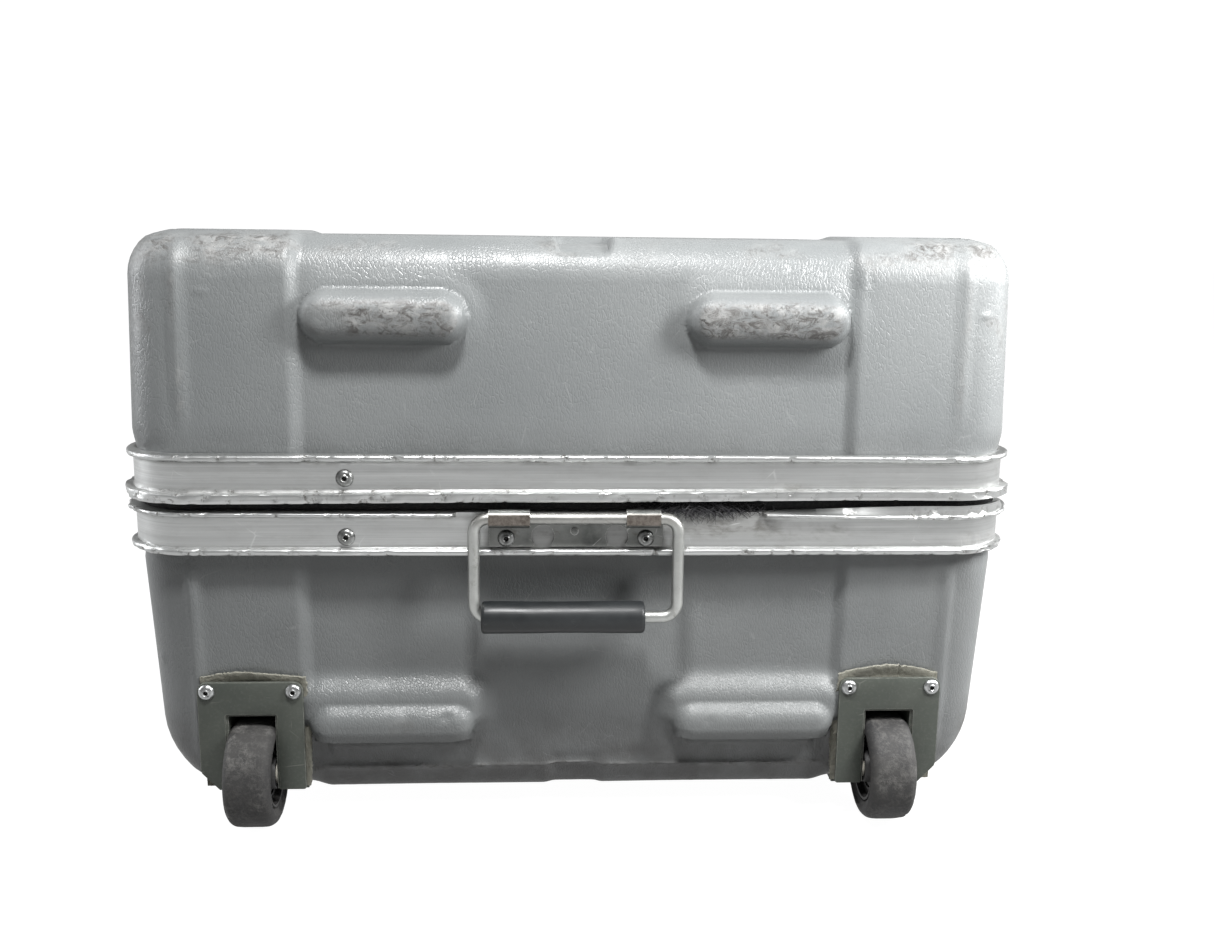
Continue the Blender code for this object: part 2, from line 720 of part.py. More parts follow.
def build_latch_lever(prefix, y, pivot, pin, hook_pin):
    """The lever hangs down over the plate. Its two cheeks carry its own pins and the hook's pin."""
    outer, inner = HALF_X + 0.0080, HALF_X + 0.0096
    face = boxes(((outer, y - LEVER_HALF, LEVER_FOOT_Z), (inner, y + LEVER_HALF, pin[1] + 0.0024)))
    lever = add_part(f"{prefix}_latch_lever", face, "zinc_steel", pivot)
    window_top, window_foot = PARTING_Z, PARTING_Z - 0.0290
    cut(lever, boxes(((outer - 0.002, y - 0.007, window_foot), (inner + 0.002, y + 0.007, window_top))))
    cheek_x = outer + 0.0005
    hook_x, hook_z = hook_pin
    for side in (-1, 1):
        near, middle, far = y + side * 0.0070, y + side * 0.0092, y + side * LEVER_HALF
        shoulder = y + side * 0.0074
        join(
            lever,
            boxes(((pin[0] - 0.0020, shoulder, pin[1] - 0.0030), (cheek_x, far, pin[1] + 0.0022))),
            rods(HINGE_PIN, ((pin[0], middle, pin[1]), (pin[0], y + side * 0.0206, pin[1]))),
            boxes(((hook_x - 0.0019, near, hook_z - 0.0026), (cheek_x, middle, hook_z + 0.0026))),
        )
    join(lever, rods(0.0012, ((hook_x, y - 0.0085, hook_z), (hook_x, y + 0.0085, hook_z)), sides=10))


def build_latch_hook(prefix, y, pivot, hook_pin):
    """A strap from a barrel on the lever's pin up to a cross bar, which lies against the keeper."""
    x, z = hook_pin
    top = PARTING_Z + 0.0185
    barrel = rods(0.0022, ((x, y - 0.0064, z), (x, y + 0.0064, z)))
    hook = add_part(f"{prefix}_latch_hook", barrel, "zinc_steel", pivot)
    join(
        hook,
        boxes(((x - 0.0021, y - 0.0060, z), (x - 0.0009, y + 0.0060, top))),
        rods(0.0017, ((x - 0.0005, y - 0.0090, top), (x - 0.0005, y + 0.0090, top)), sides=10),
    )
    cut(hook, rods(0.0016, ((x, y - 0.01, z), (x, y + 0.01, z)), sides=10))


def build_latch(prefix, y, lid):
    flat = HALF_X + GAP
    pin = (HALF_X + LEVER_PIVOT[0], LEVER_PIVOT[1])
    hook_pin = (HALF_X + HOOK_PIVOT[0], HOOK_PIVOT[1])
    lever_pivot = add_pivot(f"{prefix}_latch_lever_pivot", (pin[0], y, pin[1]))
    hook_pivot = add_pivot(f"{prefix}_latch_hook_pivot", (hook_pin[0], y, hook_pin[1]))

    back = boxes(((flat, y - 0.024, PLATE_FOOT_Z), (flat + PLATE, y + 0.024, PARTING_Z - 0.0050)))
    plate = add_part(f"{prefix}_latch_plate", back, "zinc_steel")
    ear_low, ear_high = pin[1] - 0.0042, pin[1] + 0.0042
    for side in (-1, 1):
        ear_near, ear_far = y + side * 0.0172, y + side * 0.0202
        join(plate, boxes(((flat, ear_near, ear_low), (pin[0] + 0.0034, ear_far, ear_high))))
    cut(plate, rods(HINGE_BORE, ((pin[0], y - 0.03, pin[1]), (pin[0], y + 0.03, pin[1]))))

    keeper_low, keeper_high = PARTING_Z + 0.0066, PARTING_Z + 0.0238
    keeper = boxes(((flat, y - 0.013, keeper_low), (flat + PLATE, y + 0.013, keeper_high)))
    add_part(f"{prefix}_latch_keeper", keeper, "zinc_steel", lid)
    build_latch_lever(prefix, y, lever_pivot, pin, hook_pin)
    build_latch_hook(prefix, y, hook_pivot, hook_pin)


# Wheels


def on_front_slope(mesh):
    """Turns a shape made upright at the origin to lie on the drafted front of the base's corner zones."""
    z = WHEEL_PLATE_TOP
    y = -HALF_Y + BASE_RIM_INSET + BASE_DRAFT * (BASE_RIM_Z - z)
    mesh.transform(Matrix.Translation((0, y, z)) @ Matrix.Rotation(BASE_SLOPE, 4, "X"))
    return mesh


def well_box(x, grow, front, bottom):
    """The space for a wheel, grown outwards at its sides, back and top. It's open in front and below."""
    half = WHEEL_SLOT_HALF + grow
    return boxes(((x - half, front, bottom), (x + half, CUP_BACK + grow, WHEEL_SLOT_TOP + grow)))


def build_wheel_housing(prefix, side, base_shell):
    x = side * WHEEL_X
    sole_top = BASE_BOTTOM_Z - ZONE_RISE - GAP
    sole_bottom = sole_top - WHEEL_PLATE
    plate_back = WHEEL_PLATE_Y + WHEEL_PLATE
    front, below = -HALF_Y - 0.010, BASE_BOTTOM_Z - 0.020
    low_x, high_x = x - WHEEL_PLATE_HALF, x + WHEEL_PLATE_HALF
    axle_room = CUP_WALL + 0.0028
    cut(base_shell, well_box(x, axle_room, front, below))

    plate = boxes(((low_x, WHEEL_PLATE_Y, sole_bottom), (high_x, plate_back, WHEEL_PLATE_TOP)))
    bracket = add_part(f"{prefix}_wheel_bracket", plate, "housing_paint")
    sole = boxes(((low_x, WHEEL_PLATE_Y, sole_bottom), (high_x, CUP_BACK - 0.006, sole_top)))
    join(bracket, sole, well_box(x, CUP_WALL, WHEEL_PLATE_Y + 0.001, sole_bottom))
    chamfer = boxes(((-0.008, front, -0.008), (0.008, CUP_BACK + 0.02, 0.008)))
    corner = Matrix.Translation((x + side * WHEEL_PLATE_HALF, 0, sole_bottom))
    chamfer.transform(corner @ Matrix.Rotation(math.pi / 4, 4, "Y"))
    axle_hole = ((x - 0.03, WHEEL_Y, WHEEL_Z), (x + 0.03, WHEEL_Y, WHEEL_Z))
    drills = [
        ((x + dx, front, WHEEL_RIVET_Z), (x + dx, -HALF_Y + 0.040, WHEEL_RIVET_Z))
        for dx in (-WHEEL_RIVET_X, WHEEL_RIVET_X)
    ]
    cut(
        bracket,
        well_box(x, 0.0, front, below),
        chamfer,
        rods(AXLE_RADIUS + 0.0004, axle_hole, sides=14),
        rods(RIVET_HOLE, *drills, sides=10),
    )
    cut(base_shell, rods(RIVET_HOLE, *drills, sides=10))

    pad_low, pad_high = -GAP - PAD_THICK, -GAP
    pad_x = (x - side * (WHEEL_PLATE_HALF + 0.002), x + side * (WHEEL_PLATE_HALF - 0.001))
    pad_mesh = on_front_slope(boxes(((pad_x[0], pad_low, -0.068), (pad_x[1], pad_high, 0.005))))
    pad = add_part(f"{prefix}_bracket_pad", pad_mesh, "pad_fibre")
    cut(pad, well_box(x, axle_room, front, below), rods(RIVET_HOLE, *drills, sides=10))
    for label, dx in (("inner", -side * WHEEL_RIVET_X), ("outer", side * WHEEL_RIVET_X)):
        place = (x + dx, WHEEL_PLATE_Y, WHEEL_RIVET_Z)
        rivet(f"{prefix}_bracket_rivet_{label}", place, (0, -1, 0), WHEEL_RIVET_GRIP)


def ring_profile(outer, inner, width, shoulder):
    half = width / 2
    return [
        (inner, half),
        (outer - shoulder, half),
        (outer - shoulder * 0.3, half - shoulder * 0.3),
        (outer, half - shoulder),
        (outer, -half + shoulder),
        (outer - shoulder * 0.3, -half + shoulder * 0.3),
        (outer - shoulder, -half),
        (inner, -half),
        (inner, half),
    ]


def build_wheel(prefix, side):
    centre = (side * WHEEL_X, WHEEL_Y, WHEEL_Z)
    axis = (1, 0, 0)
    pivot = add_pivot(f"{prefix}_wheel_pivot", centre)
    tyre = ring_profile(WHEEL_RADIUS, HUB_RADIUS + GAP, WHEEL_WIDTH, 0.0070)
    hub = ring_profile(HUB_RADIUS, BUSH_RADIUS + GAP, WHEEL_WIDTH - 0.0030, 0.0020)
    bush = ring_profile(BUSH_RADIUS, AXLE_RADIUS + GAP, WHEEL_WIDTH, 0.0008)
    add_part(f"{prefix}_wheel_tyre", turned(tyre, 28, axis, centre), "tyre_rubber", pivot)
    add_part(f"{prefix}_wheel_hub", turned(hub, 24, axis, centre), "hub_plastic", pivot)
    add_part(f"{prefix}_wheel_bush", turned(bush, 14, axis, centre), "bush_nylon", pivot)
    reach = WHEEL_SLOT_HALF + CUP_WALL
    head = reach + GAP
    axle = [
        (0.0, head + 0.0016),
        (AXLE_HEAD - 0.0004, head + 0.0012),
        (AXLE_HEAD, head),
        (AXLE_RADIUS, head),
        (AXLE_RADIUS, -head),
        (AXLE_HEAD, -head),
        (AXLE_HEAD - 0.0004, -head - 0.0012),
        (0.0, -head - 0.0016),
    ]
    add_part(f"{prefix}_axle", turned(axle, 14, axis, centre), "zinc_steel")
    return pivot


# Assembly


def build_case():
    lid = add_pivot("lid_pivot", (-HALF_X - HINGE_STANDOFF, 0, HINGE_Z))
    lid_shell = build_shell(
        "lid_shell",
        LID_RIM_Z,
        LID_TOP_Z,
        LID_RIM_INSET,
        (LID_DRAFT, LID_DRAFT),
        (LID_ROUND, LID_ROUND),
        LID_BUMP_X,
        LID_BUMP_Z,
        LID_BUMP_REACH,
        lid,
    )
    base_shell = build_shell(
        "base_shell",
        BASE_RIM_Z,
        BASE_BOTTOM_Z,
        BASE_RIM_INSET,
        (BASE_SIDE_DRAFT, BASE_DRAFT),
        (BASE_SIDE_ROUND, BASE_END_ROUND),
        BASE_BUMP_X,
        BASE_BUMP_Z,
        BASE_BUMP_REACH,
    )
    cut(lid_shell, end_drills(((STAY_X, STAY_LID_Z),)))
    cut(base_shell, end_drills(((STAY_X, STAY_BASE_Z),)))
    build_frames(lid)
    build_handles()
    build_stays(lid)
    for prefix, sign in (("front", -1), ("rear", 1)):
        build_hinge(prefix, sign * HINGE_Y, lid)
        build_latch(prefix, sign * LATCH_Y, lid)
    for prefix, side in (("left", -1), ("right", 1)):
        build_wheel_housing(prefix, side, base_shell)
        build_wheel(prefix, side)


clear_scene()
PARTS = collection("flight_case")
CUTTERS = collection("cutters")
make_materials()
build_case()
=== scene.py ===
"""Finished look of the rolling flight case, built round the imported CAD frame.

Metres, row frame: +Z up with the case lying flat, -Y towards the wheeled end, +X to the right.
"""

import math
from contextlib import contextmanager
from functools import reduce

import bmesh
import bpy
import numpy as np
from mathutils import Matrix, Vector, noise


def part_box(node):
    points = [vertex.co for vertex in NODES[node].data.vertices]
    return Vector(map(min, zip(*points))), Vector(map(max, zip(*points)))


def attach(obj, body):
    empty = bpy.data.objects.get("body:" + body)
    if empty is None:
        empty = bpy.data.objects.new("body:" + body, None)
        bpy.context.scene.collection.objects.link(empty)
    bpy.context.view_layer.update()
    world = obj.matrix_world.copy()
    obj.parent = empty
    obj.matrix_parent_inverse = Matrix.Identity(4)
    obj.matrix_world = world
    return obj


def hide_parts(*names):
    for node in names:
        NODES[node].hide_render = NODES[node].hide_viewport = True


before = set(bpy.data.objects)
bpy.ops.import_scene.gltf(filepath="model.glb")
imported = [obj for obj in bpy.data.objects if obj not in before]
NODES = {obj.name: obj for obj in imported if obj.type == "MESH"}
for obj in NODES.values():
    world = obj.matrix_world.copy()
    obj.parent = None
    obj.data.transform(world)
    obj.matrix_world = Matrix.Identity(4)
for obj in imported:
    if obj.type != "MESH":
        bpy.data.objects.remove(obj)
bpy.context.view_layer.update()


def span(node):
    low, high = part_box(node)
    return np.array(low), np.array(high)


def centre(node):
    low, high = span(node)
    return (low + high) / 2


# Places that the CAD gives
LEAF_GAP = 0.0003  # between the frames' flats and what is fixed on them
HALF_X = span("front_latch_plate")[0][0] - LEAF_GAP
HALF_Y = -span("front_handle_bracket")[1][1] - LEAF_GAP
PARTING = span("lid_frame")[0][2] - 0.0047
LID_TOP = span("lid_shell")[1][2] - 0.0045
LID_RIM = PARTING + 0.0075
BASE_RIM = PARTING - 0.0045
WHEEL = {side: centre(f"{side}_wheel_tyre") for side in ("left", "right")}
WHEEL_RADIUS = (span("left_wheel_tyre")[1][2] - span("left_wheel_tyre")[0][2]) / 2

# The shells stand back from the frames' flats at their rims, and draw in away from them
LID_INSET, LID_DRAFT = 0.0039, 0.0225
BASE_INSET, BASE_DRAFT = 0.0048, 0.0699
SHELL_CORNER, FRAME_CORNER = 0.0245, 0.0400
SHELL_WALL = 0.0040
ZONE_RISE = 0.0045
HINGE_Y, LATCH_Y = 0.19, 0.17


# Small tools


def smooth(a, b, x):
    t = np.clip((np.asarray(x, float) - a) / (b - a), 0.0, 1.0)
    return t * t * (3 - 2 * t)


def near(value, low, high, soft):
    """1 from low to high, falling to 0 over a soft distance on both sides."""
    return smooth(low - soft, low, value) * smooth(high + soft, high, value)


def ridge(value, middle, width):
    """A bell curve: 1 at the middle."""
    return np.exp(-(((value - middle) / width) ** 2))


def noise_at(points, scale, seed):
    """Signed noise at each point, roughly -1 to 1."""
    shift = Vector((seed * 7.31, seed * 3.17, seed * 5.93))
    return np.array([noise.noise(Vector(point) * scale + shift) for point in points])


def linked(name, data):
    obj = bpy.data.objects.new(name, data)
    bpy.context.scene.collection.objects.link(obj)
    return obj


def shade(mesh, angle):
    """Smooth, apart from edges that turn by more than the angle."""
    mesh.shade_smooth()
    mesh.set_sharp_from_angle(angle=math.radians(angle))


def new_object(name, mesh, body, material, replaced, angle):
    """Puts a mesh on its body. Without an angle its faces stay flat."""
    if angle is not None:
        shade(mesh, angle)
    obj = linked(name, mesh)
    mesh.materials.clear()
    mesh.materials.append(MATERIALS[material])
    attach(obj, body)
    if replaced:
        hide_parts(replaced)
    return obj


@contextmanager
def edited(mesh):
    bm = bmesh.new()
    bm.from_mesh(mesh)
    yield bm
    bm.to_mesh(mesh)
    bm.free()


def outward_faces(mesh):
    with edited(mesh) as bm:
        bmesh.ops.recalc_face_normals(bm, faces=bm.faces)
    return mesh


def mesh_of(bm):
    mesh = bpy.data.meshes.new("mesh")
    bm.to_mesh(mesh)
    bm.free()
    return mesh


def mesh_from(points, faces):
    mesh = bpy.data.meshes.new("mesh")
    mesh.from_pydata([tuple(p) for p in points], [], faces)
    mesh.validate()
    mesh.update()
    return mesh


def joined(meshes):
    bm = bmesh.new()
    for mesh in meshes:
        bm.from_mesh(mesh)
    return mesh_of(bm)


def set_attribute(mesh, name, values):
    attribute = mesh.attributes.get(name) or mesh.attributes.new(name, "FLOAT", "POINT")
    attribute.data.foreach_set("value", np.asarray(values, np.float32))


def coordinates(mesh):
    found = np.empty(len(mesh.vertices) * 3)
    mesh.vertices.foreach_get("co", found)
    return found.reshape(-1, 3)


def normals(mesh):
    found = np.empty(len(mesh.vertices) * 3, np.float32)
    mesh.vertices.foreach_get("normal", found)
    return found.reshape(-1, 3).astype(float)


def put_coordinates(mesh, points):
    mesh.vertices.foreach_set("co", np.asarray(points, np.float32).ravel())
    mesh.update()


def puff(mesh, amount):
    """Moves each point along its normal."""
    put_coordinates(mesh, coordinates(mesh) + normals(mesh) * amount[:, None])


# Materials. Each is a graph of procedural nodes over the object's own coordinates.


class Graph:
    def __init__(self, name):
        self.material = bpy.data.materials.new(name)
        self.material.use_nodes = True
        self.tree = self.material.node_tree
        self.shader = self.tree.nodes["Principled BSDF"]
        self.place = self.add("ShaderNodeTexCoord").outputs["Object"]

    def add(self, kind, inputs=None, **settings):
        node = self.tree.nodes.new(kind)
        for key, value in settings.items():
            setattr(node, key, value)
        for key, value in (inputs or {}).items():
            self.set(node.inputs[key], value)
        return node

    def set(self, socket, value):
        if hasattr(value, "is_output"):
            self.tree.links.new(value, socket)
        elif isinstance(value, tuple) and socket.type == "RGBA":
            socket.default_value = (*value, 1.0)
        else:
            socket.default_value = value

    def mapped(self, scale, turn=(0.0, 0.0, 0.0)):
        inputs = {"Vector": self.place, "Rotation": turn, "Scale": scale}
        return self.add("ShaderNodeMapping", inputs).outputs["Vector"]

    def noise(self, scale, detail=3.0, rough=0.55, vector=None, distortion=0.0):
        inputs = {"Vector": vector or self.place, "Scale": scale, "Detail": detail}
        inputs |= {"Roughness": rough, "Distortion": distortion}
        return self.add("ShaderNodeTexNoise", inputs).outputs["Fac"]

    def cell_edges(self, scale, vector):
        inputs = {"Vector": vector, "Scale": scale}
        return self.add("ShaderNodeTexVoronoi", inputs, feature="DISTANCE_TO_EDGE").outputs["Distance"]

    def math(self, operation, a, b):
        return self.add("ShaderNodeMath", {0: a, 1: b}, operation=operation).outputs["Value"]

    def plus(self, a, b):
        return self.math("ADD", a, b)

    def times(self, *factors):
        return reduce(lambda a, b: self.math("MULTIPLY", a, b), factors)

    def ramp(self, value, low, high, to_low=0.0, to_high=1.0):
        inputs = {"Value": value, "From Min": low, "From Max": high, "To Min": to_low, "To Max": to_high}
        return self.add("ShaderNodeMapRange", inputs).outputs["Result"]

    def tint(self, colour, paint, *weights):
        """Paint over a colour, as strong as the product of the weights."""
        inputs = {"Factor": self.times(*weights), 6: colour, 7: paint}
        return self.add("ShaderNodeMix", inputs, data_type="RGBA").outputs[2]

    def shades(self, value, low, high, first, second):
        return self.tint(first, second, self.ramp(value, low, high))

    def attribute(self, name):
        return self.add("ShaderNodeAttribute", attribute_name=name).outputs["Fac"]

    def worn_edges(self, radius):
        """1 on edges and corners, from how far a rounded normal leaves the true one."""
        bevel = self.add("ShaderNodeBevel", {"Radius": radius}, samples=4).outputs["Normal"]
        true = self.add("ShaderNodeNewGeometry").outputs["Normal"]
        dot = self.add("ShaderNodeVectorMath", {0: bevel, 1: true}, operation="DOT_PRODUCT")
        return self.ramp(self.math("SUBTRACT", 1.0, dot.outputs["Value"]), 0.01, 0.12)

    def thin_scratches(self, amount):
        """Sparse thin lines at several angles."""
        lines = []
        for turn, scale in ((0.5, 31.0), (1.9, 43.0), (2.7, 23.0)):
            vector = self.mapped((1.0, 14.0, 1.0), (turn * 0.6, turn, turn * 1.3))
            line = self.ramp(self.cell_edges(scale, vector), 0.0, 0.012, 1.0, 0.0)
            some = self.ramp(self.noise(18.0 + scale, 2.0), 0.60, 0.68)
            lines.append(self.times(line, some))
        return self.times(reduce(lambda a, b: self.math("MAXIMUM", a, b), lines), amount)

    def finish(self, colour, roughness, metallic=0.0, height=None, depth=0.0, strength=1.0, **more):
        if height is not None:
            inputs = {"Height": height, "Distance": depth, "Strength": strength}
            more["Normal"] = self.add("ShaderNodeBump", inputs).outputs["Normal"]
        more |= {"Base_Color": colour, "Roughness": roughness, "Metallic": metallic}
        for key, value in more.items():
            self.set(self.shader.inputs[key.replace("_", " ")], value)
        return self.material


def shell_material():
    g = Graph("shell_plastic_finish")
    wear_and_highlight, dirt_and_shade = g.attribute("wear_and_highlight"), g.attribute("dirt_and_shade")
    patchy = g.noise(9.0, 4.0, 0.6)
    base = g.shades(patchy, 0.3, 0.7, (0.220, 0.232, 0.234), (0.267, 0.278, 0.278))
    base = g.tint(base, (0.189, 0.199, 0.203), g.ramp(g.noise(900.0, 2.0, 0.6), 0.35, 0.75), 0.35)
    streaks = g.noise(85.0, 8.0, 0.75, g.mapped((1.0, 1.0, 1.6)), 0.8)
    # Scuffs: pale worn patches, which also paint a highlight along the lid's corner creases
    scuffs_and_highlight = g.times(wear_and_highlight, g.ramp(streaks, 0.40, 0.60))
    pale = g.shades(g.noise(130.0, 5.0, 0.7), 0.35, 0.65, (0.190, 0.189, 0.183), (0.42, 0.42, 0.412))
    base = g.tint(base, pale, scuffs_and_highlight)
    grime = g.ramp(g.noise(115.0, 8.0, 0.8, g.mapped((1.0, 1.0, 1.7)), 0.9), 0.48, 0.59)
    base = g.tint(base, (0.088, 0.083, 0.078), grime, wear_and_highlight, 0.95)
    pits = g.ramp(g.noise(260.0, 6.0, 0.75, None, 1.2), 0.57, 0.64)
    base = g.tint(base, (0.045, 0.040, 0.036), pits, wear_and_highlight, 0.85)
    # Painted shade: the attribute read here darkens the shells towards the base's bottom, under the base's
    # lip, next to the frames and round the feet of the bosses
    base = g.tint(base, (0.09, 0.09, 0.088), dirt_and_shade, g.ramp(g.noise(35.0, 5.0), 0.35, 0.65, 0.4, 1.0))
    scratches = g.thin_scratches(0.28)
    base = g.tint(base, (0.42, 0.43, 0.43), scratches)
    slanted = g.mapped((1.0, 1.0, 0.42), (0.0, 0.30, 0.0))
    grain = g.ramp(g.cell_edges(560.0, slanted), 0.0, 0.16)
    grain = g.times(grain, g.ramp(g.noise(60.0, 2.0), 0.35, 0.65, 0.35, 0.75))
    height = g.plus(grain, g.times(g.noise(360.0, 3.0, 0.65, slanted, 0.8), 0.9))
    height = g.times(height, g.ramp(wear_and_highlight, 0.0, 1.0, 1.0, 0.25))
    height = g.plus(height, g.times(streaks, wear_and_highlight, 1.6))
    height = g.math("SUBTRACT", height, g.times(scratches, 0.4))
    rough = g.plus(g.ramp(patchy, 0.3, 0.7, 0.35, 0.42), g.times(scuffs_and_highlight, 0.25))
    return g.finish(base, rough, 0.0, height, 0.00026, 0.60, Specular_IOR_Level=0.65)


def aluminium_material():
    g = Graph("frame_aluminium_finish")
    worn, soot_and_shade = g.attribute("wear_and_highlight"), g.attribute("dirt_and_shade")
    lines = g.noise(1.0, 5.0, 0.7, g.mapped((9.0, 9.0, 1900.0)))
    broad = g.noise(1.0, 3.0, 0.6, g.mapped((6.0, 6.0, 260.0)))
    colour = g.shades(broad, 0.3, 0.7, (0.52, 0.53, 0.525), (0.66, 0.67, 0.665))
    colour = g.tint(colour, (0.40, 0.405, 0.40), g.ramp(lines, 0.4, 0.65), 0.4)
    blotch = g.ramp(g.noise(60.0, 6.0, 0.7, g.mapped((1.0, 1.0, 2.5))), 0.50, 0.72)
    # The attribute read as soot holds real soot and smears, and painted shade in the grooves, under the beads
    # and inside the channel
    colour = g.tint(colour, (0.15, 0.14, 0.12), blotch, g.ramp(soot_and_shade, 0.0, 1.0, 0.12, 0.9))
    colour = g.tint(colour, (0.16, 0.155, 0.145), soot_and_shade, 0.45)
    nick = g.ramp(g.noise(420.0, 4.0, 0.7), 0.50, 0.60)
    colour = g.tint(colour, (0.16, 0.155, 0.145), nick, worn, 0.9)
    colour = g.tint(colour, (0.78, 0.79, 0.78), g.thin_scratches(0.6))
    rough = g.plus(g.ramp(lines, 0.3, 0.7, 0.30, 0.42), g.times(soot_and_shade, 0.25))
    height = g.plus(lines, g.times(nick, worn, 2.5))
    return g.finish(colour, rough, g.ramp(soot_and_shade, 0.0, 1.0, 0.95, 0.55), height, 0.00006, 0.8)


def zinc_material(name, bright, dull, stain, stains=0.35):
    """Plated steel: cloudy plating, fine scratches, and brown staining."""
    g = Graph(name)
    cloud = g.noise(45.0, 5.0, 0.65)
    colour = g.shades(cloud, 0.3, 0.7, dull, bright)
    rust = g.ramp(g.noise(95.0, 6.0, 0.75, None, 0.5), 0.58, 0.72)
    mark = g.times(rust, stains)
    colour = g.tint(colour, stain, mark)
    colour = g.tint(colour, (0.74, 0.74, 0.72), g.worn_edges(0.0008), 0.5)
    colour = g.tint(colour, (0.76, 0.76, 0.74), g.thin_scratches(0.5))
    brown = g.shades(g.noise(380.0, 5.0, 0.7), 0.35, 0.65, (0.13, 0.105, 0.085), (0.30, 0.265, 0.235))
    colour = g.tint(colour, brown, g.attribute("wear_and_highlight"), 0.85)
    rough = g.plus(g.ramp(cloud, 0.3, 0.7, 0.34, 0.48), g.times(mark, 0.3))
    return g.finish(colour, rough, 0.9, g.plus(g.noise(700.0, 3.0, 0.6), g.times(rust, 0.6)), 0.00005, 0.7)


def paint_material():
    g = Graph("housing_paint_finish")
    cloud = g.noise(24.0, 6.0, 0.65)
    colour = g.shades(cloud, 0.3, 0.7, (0.072, 0.082, 0.070), (0.112, 0.122, 0.105))
    speck = g.noise(600.0, 3.0, 0.6)
    colour = g.tint(colour, (0.17, 0.175, 0.16), g.ramp(speck, 0.5, 0.75), 0.3)
    chipped = g.ramp(g.noise(160.0, 4.0, 0.7), 0.35, 0.6)
    colour = g.tint(colour, (0.42, 0.42, 0.38), g.worn_edges(0.0011), chipped, 0.8)
    scratches = g.thin_scratches(0.45)
    colour = g.tint(colour, (0.33, 0.33, 0.30), scratches)
    height = g.math("SUBTRACT", g.times(speck, 0.5), scratches)
    return g.finish(colour, g.ramp(cloud, 0.3, 0.7, 0.48, 0.62), 0.15, height, 0.00010, 0.6)


def pad_material():
    g = Graph("pad_fibre_finish")
    fibres = g.noise(420.0, 6.0, 0.75, g.mapped((1.0, 3.0, 0.6)), 1.0)
    colour = g.shades(fibres, 0.3, 0.7, (0.20, 0.195, 0.155), (0.44, 0.43, 0.36))
    colour = g.tint(colour, (0.25, 0.245, 0.205), g.ramp(g.noise(40.0, 4.0), 0.45, 0.7))
    return g.finish(colour, 0.92, 0.0, fibres, 0.0005, 0.9, Sheen_Weight=0.25)


def tyre_material():
    g = Graph("tyre_rubber_finish")
    dust = g.noise(38.0, 7.0, 0.7, None, 0.4)
    colour = g.shades(dust, 0.35, 0.7, (0.030, 0.030, 0.031), (0.070, 0.068, 0.065))
    grit = g.noise(520.0, 4.0, 0.7)
    colour = g.tint(colour, (0.11, 0.105, 0.10), g.ramp(grit, 0.5, 0.7), 0.5)
    scuff = g.times(g.attribute("wear_and_highlight"), g.ramp(g.noise(150.0, 6.0, 0.8), 0.47, 0.62))
    colour = g.tint(colour, (0.20, 0.195, 0.185), scuff, 0.8)
    rough = g.ramp(dust, 0.3, 0.7, 0.62, 0.82)
    return g.finish(colour, rough, 0.0, g.plus(grit, g.times(scuff, 1.5)), 0.00022, 0.8)


def hub_material():
    g = Graph("hub_plastic_finish")
    dust = g.noise(50.0, 5.0, 0.65)
    colour = g.shades(dust, 0.4, 0.75, (0.018, 0.018, 0.019), (0.060, 0.058, 0.055))
    return g.finish(colour, g.ramp(dust, 0.3, 0.7, 0.42, 0.65), 0.0, g.noise(500.0), 0.0001, 0.6)


def grip_material():
    g = Graph("grip_plastic_finish")
    smear = g.noise(30.0, 5.0, 0.65)
    colour = g.shades(smear, 0.35, 0.7, (0.013, 0.015, 0.016), (0.030, 0.033, 0.035))
    colour = g.tint(colour, (0.12, 0.125, 0.13), g.thin_scratches(0.3))
    lines = g.noise(1.0, 4.0, 0.6, g.mapped((12.0, 260.0, 260.0)))
    return g.finish(colour, g.ramp(smear, 0.3, 0.7, 0.30, 0.46), 0.0, lines, 0.00018, 0.6)


def rivet_material(name, dull, bright):
    g = Graph(name)
    cloud, dirt_and_shade = g.noise(300.0, 4.0, 0.65), g.attribute("dirt_and_shade")
    # The attribute darkens the hole and the creases of the head as painted shade
    colour = g.tint(g.shades(cloud, 0.35, 0.7, dull, bright), (0.03, 0.028, 0.025), dirt_and_shade)
    metal = g.ramp(dirt_and_shade, 0.0, 1.0, 1.0, 0.2)
    return g.finish(colour, g.ramp(cloud, 0.3, 0.7, 0.24, 0.40), metal, g.noise(1500.0), 0.00003, 0.7)


def rubber_material():
    g = Graph("seal_rubber_finish")
    lint = g.noise(700.0, 5.0, 0.75)
    colour = g.shades(lint, 0.45, 0.75, (0.012, 0.012, 0.013), (0.045, 0.043, 0.042))
    return g.finish(colour, 0.85, 0.0, lint, 0.0003, 0.8)


def fibre_material():
    g = Graph("lining_fibre_finish")
    colour = g.shades(g.noise(160.0), 0.35, 0.65, (0.020, 0.020, 0.024), (0.060, 0.058, 0.062))
    return g.finish(colour, 0.9, 0.0, g.noise(900.0, 2.0), 0.0001, 0.5, Sheen_Weight=0.2)


def nylon_material():
    g = Graph("bush_nylon_finish")
    cloud = g.noise(120.0, 4.0)
    colour = g.shades(cloud, 0.3, 0.7, (0.52, 0.49, 0.42), (0.66, 0.64, 0.57))
    return g.finish(colour, g.ramp(cloud, 0.3, 0.7, 0.4, 0.55), 0.0, g.noise(600.0, 2.0), 0.00008, 0.5)


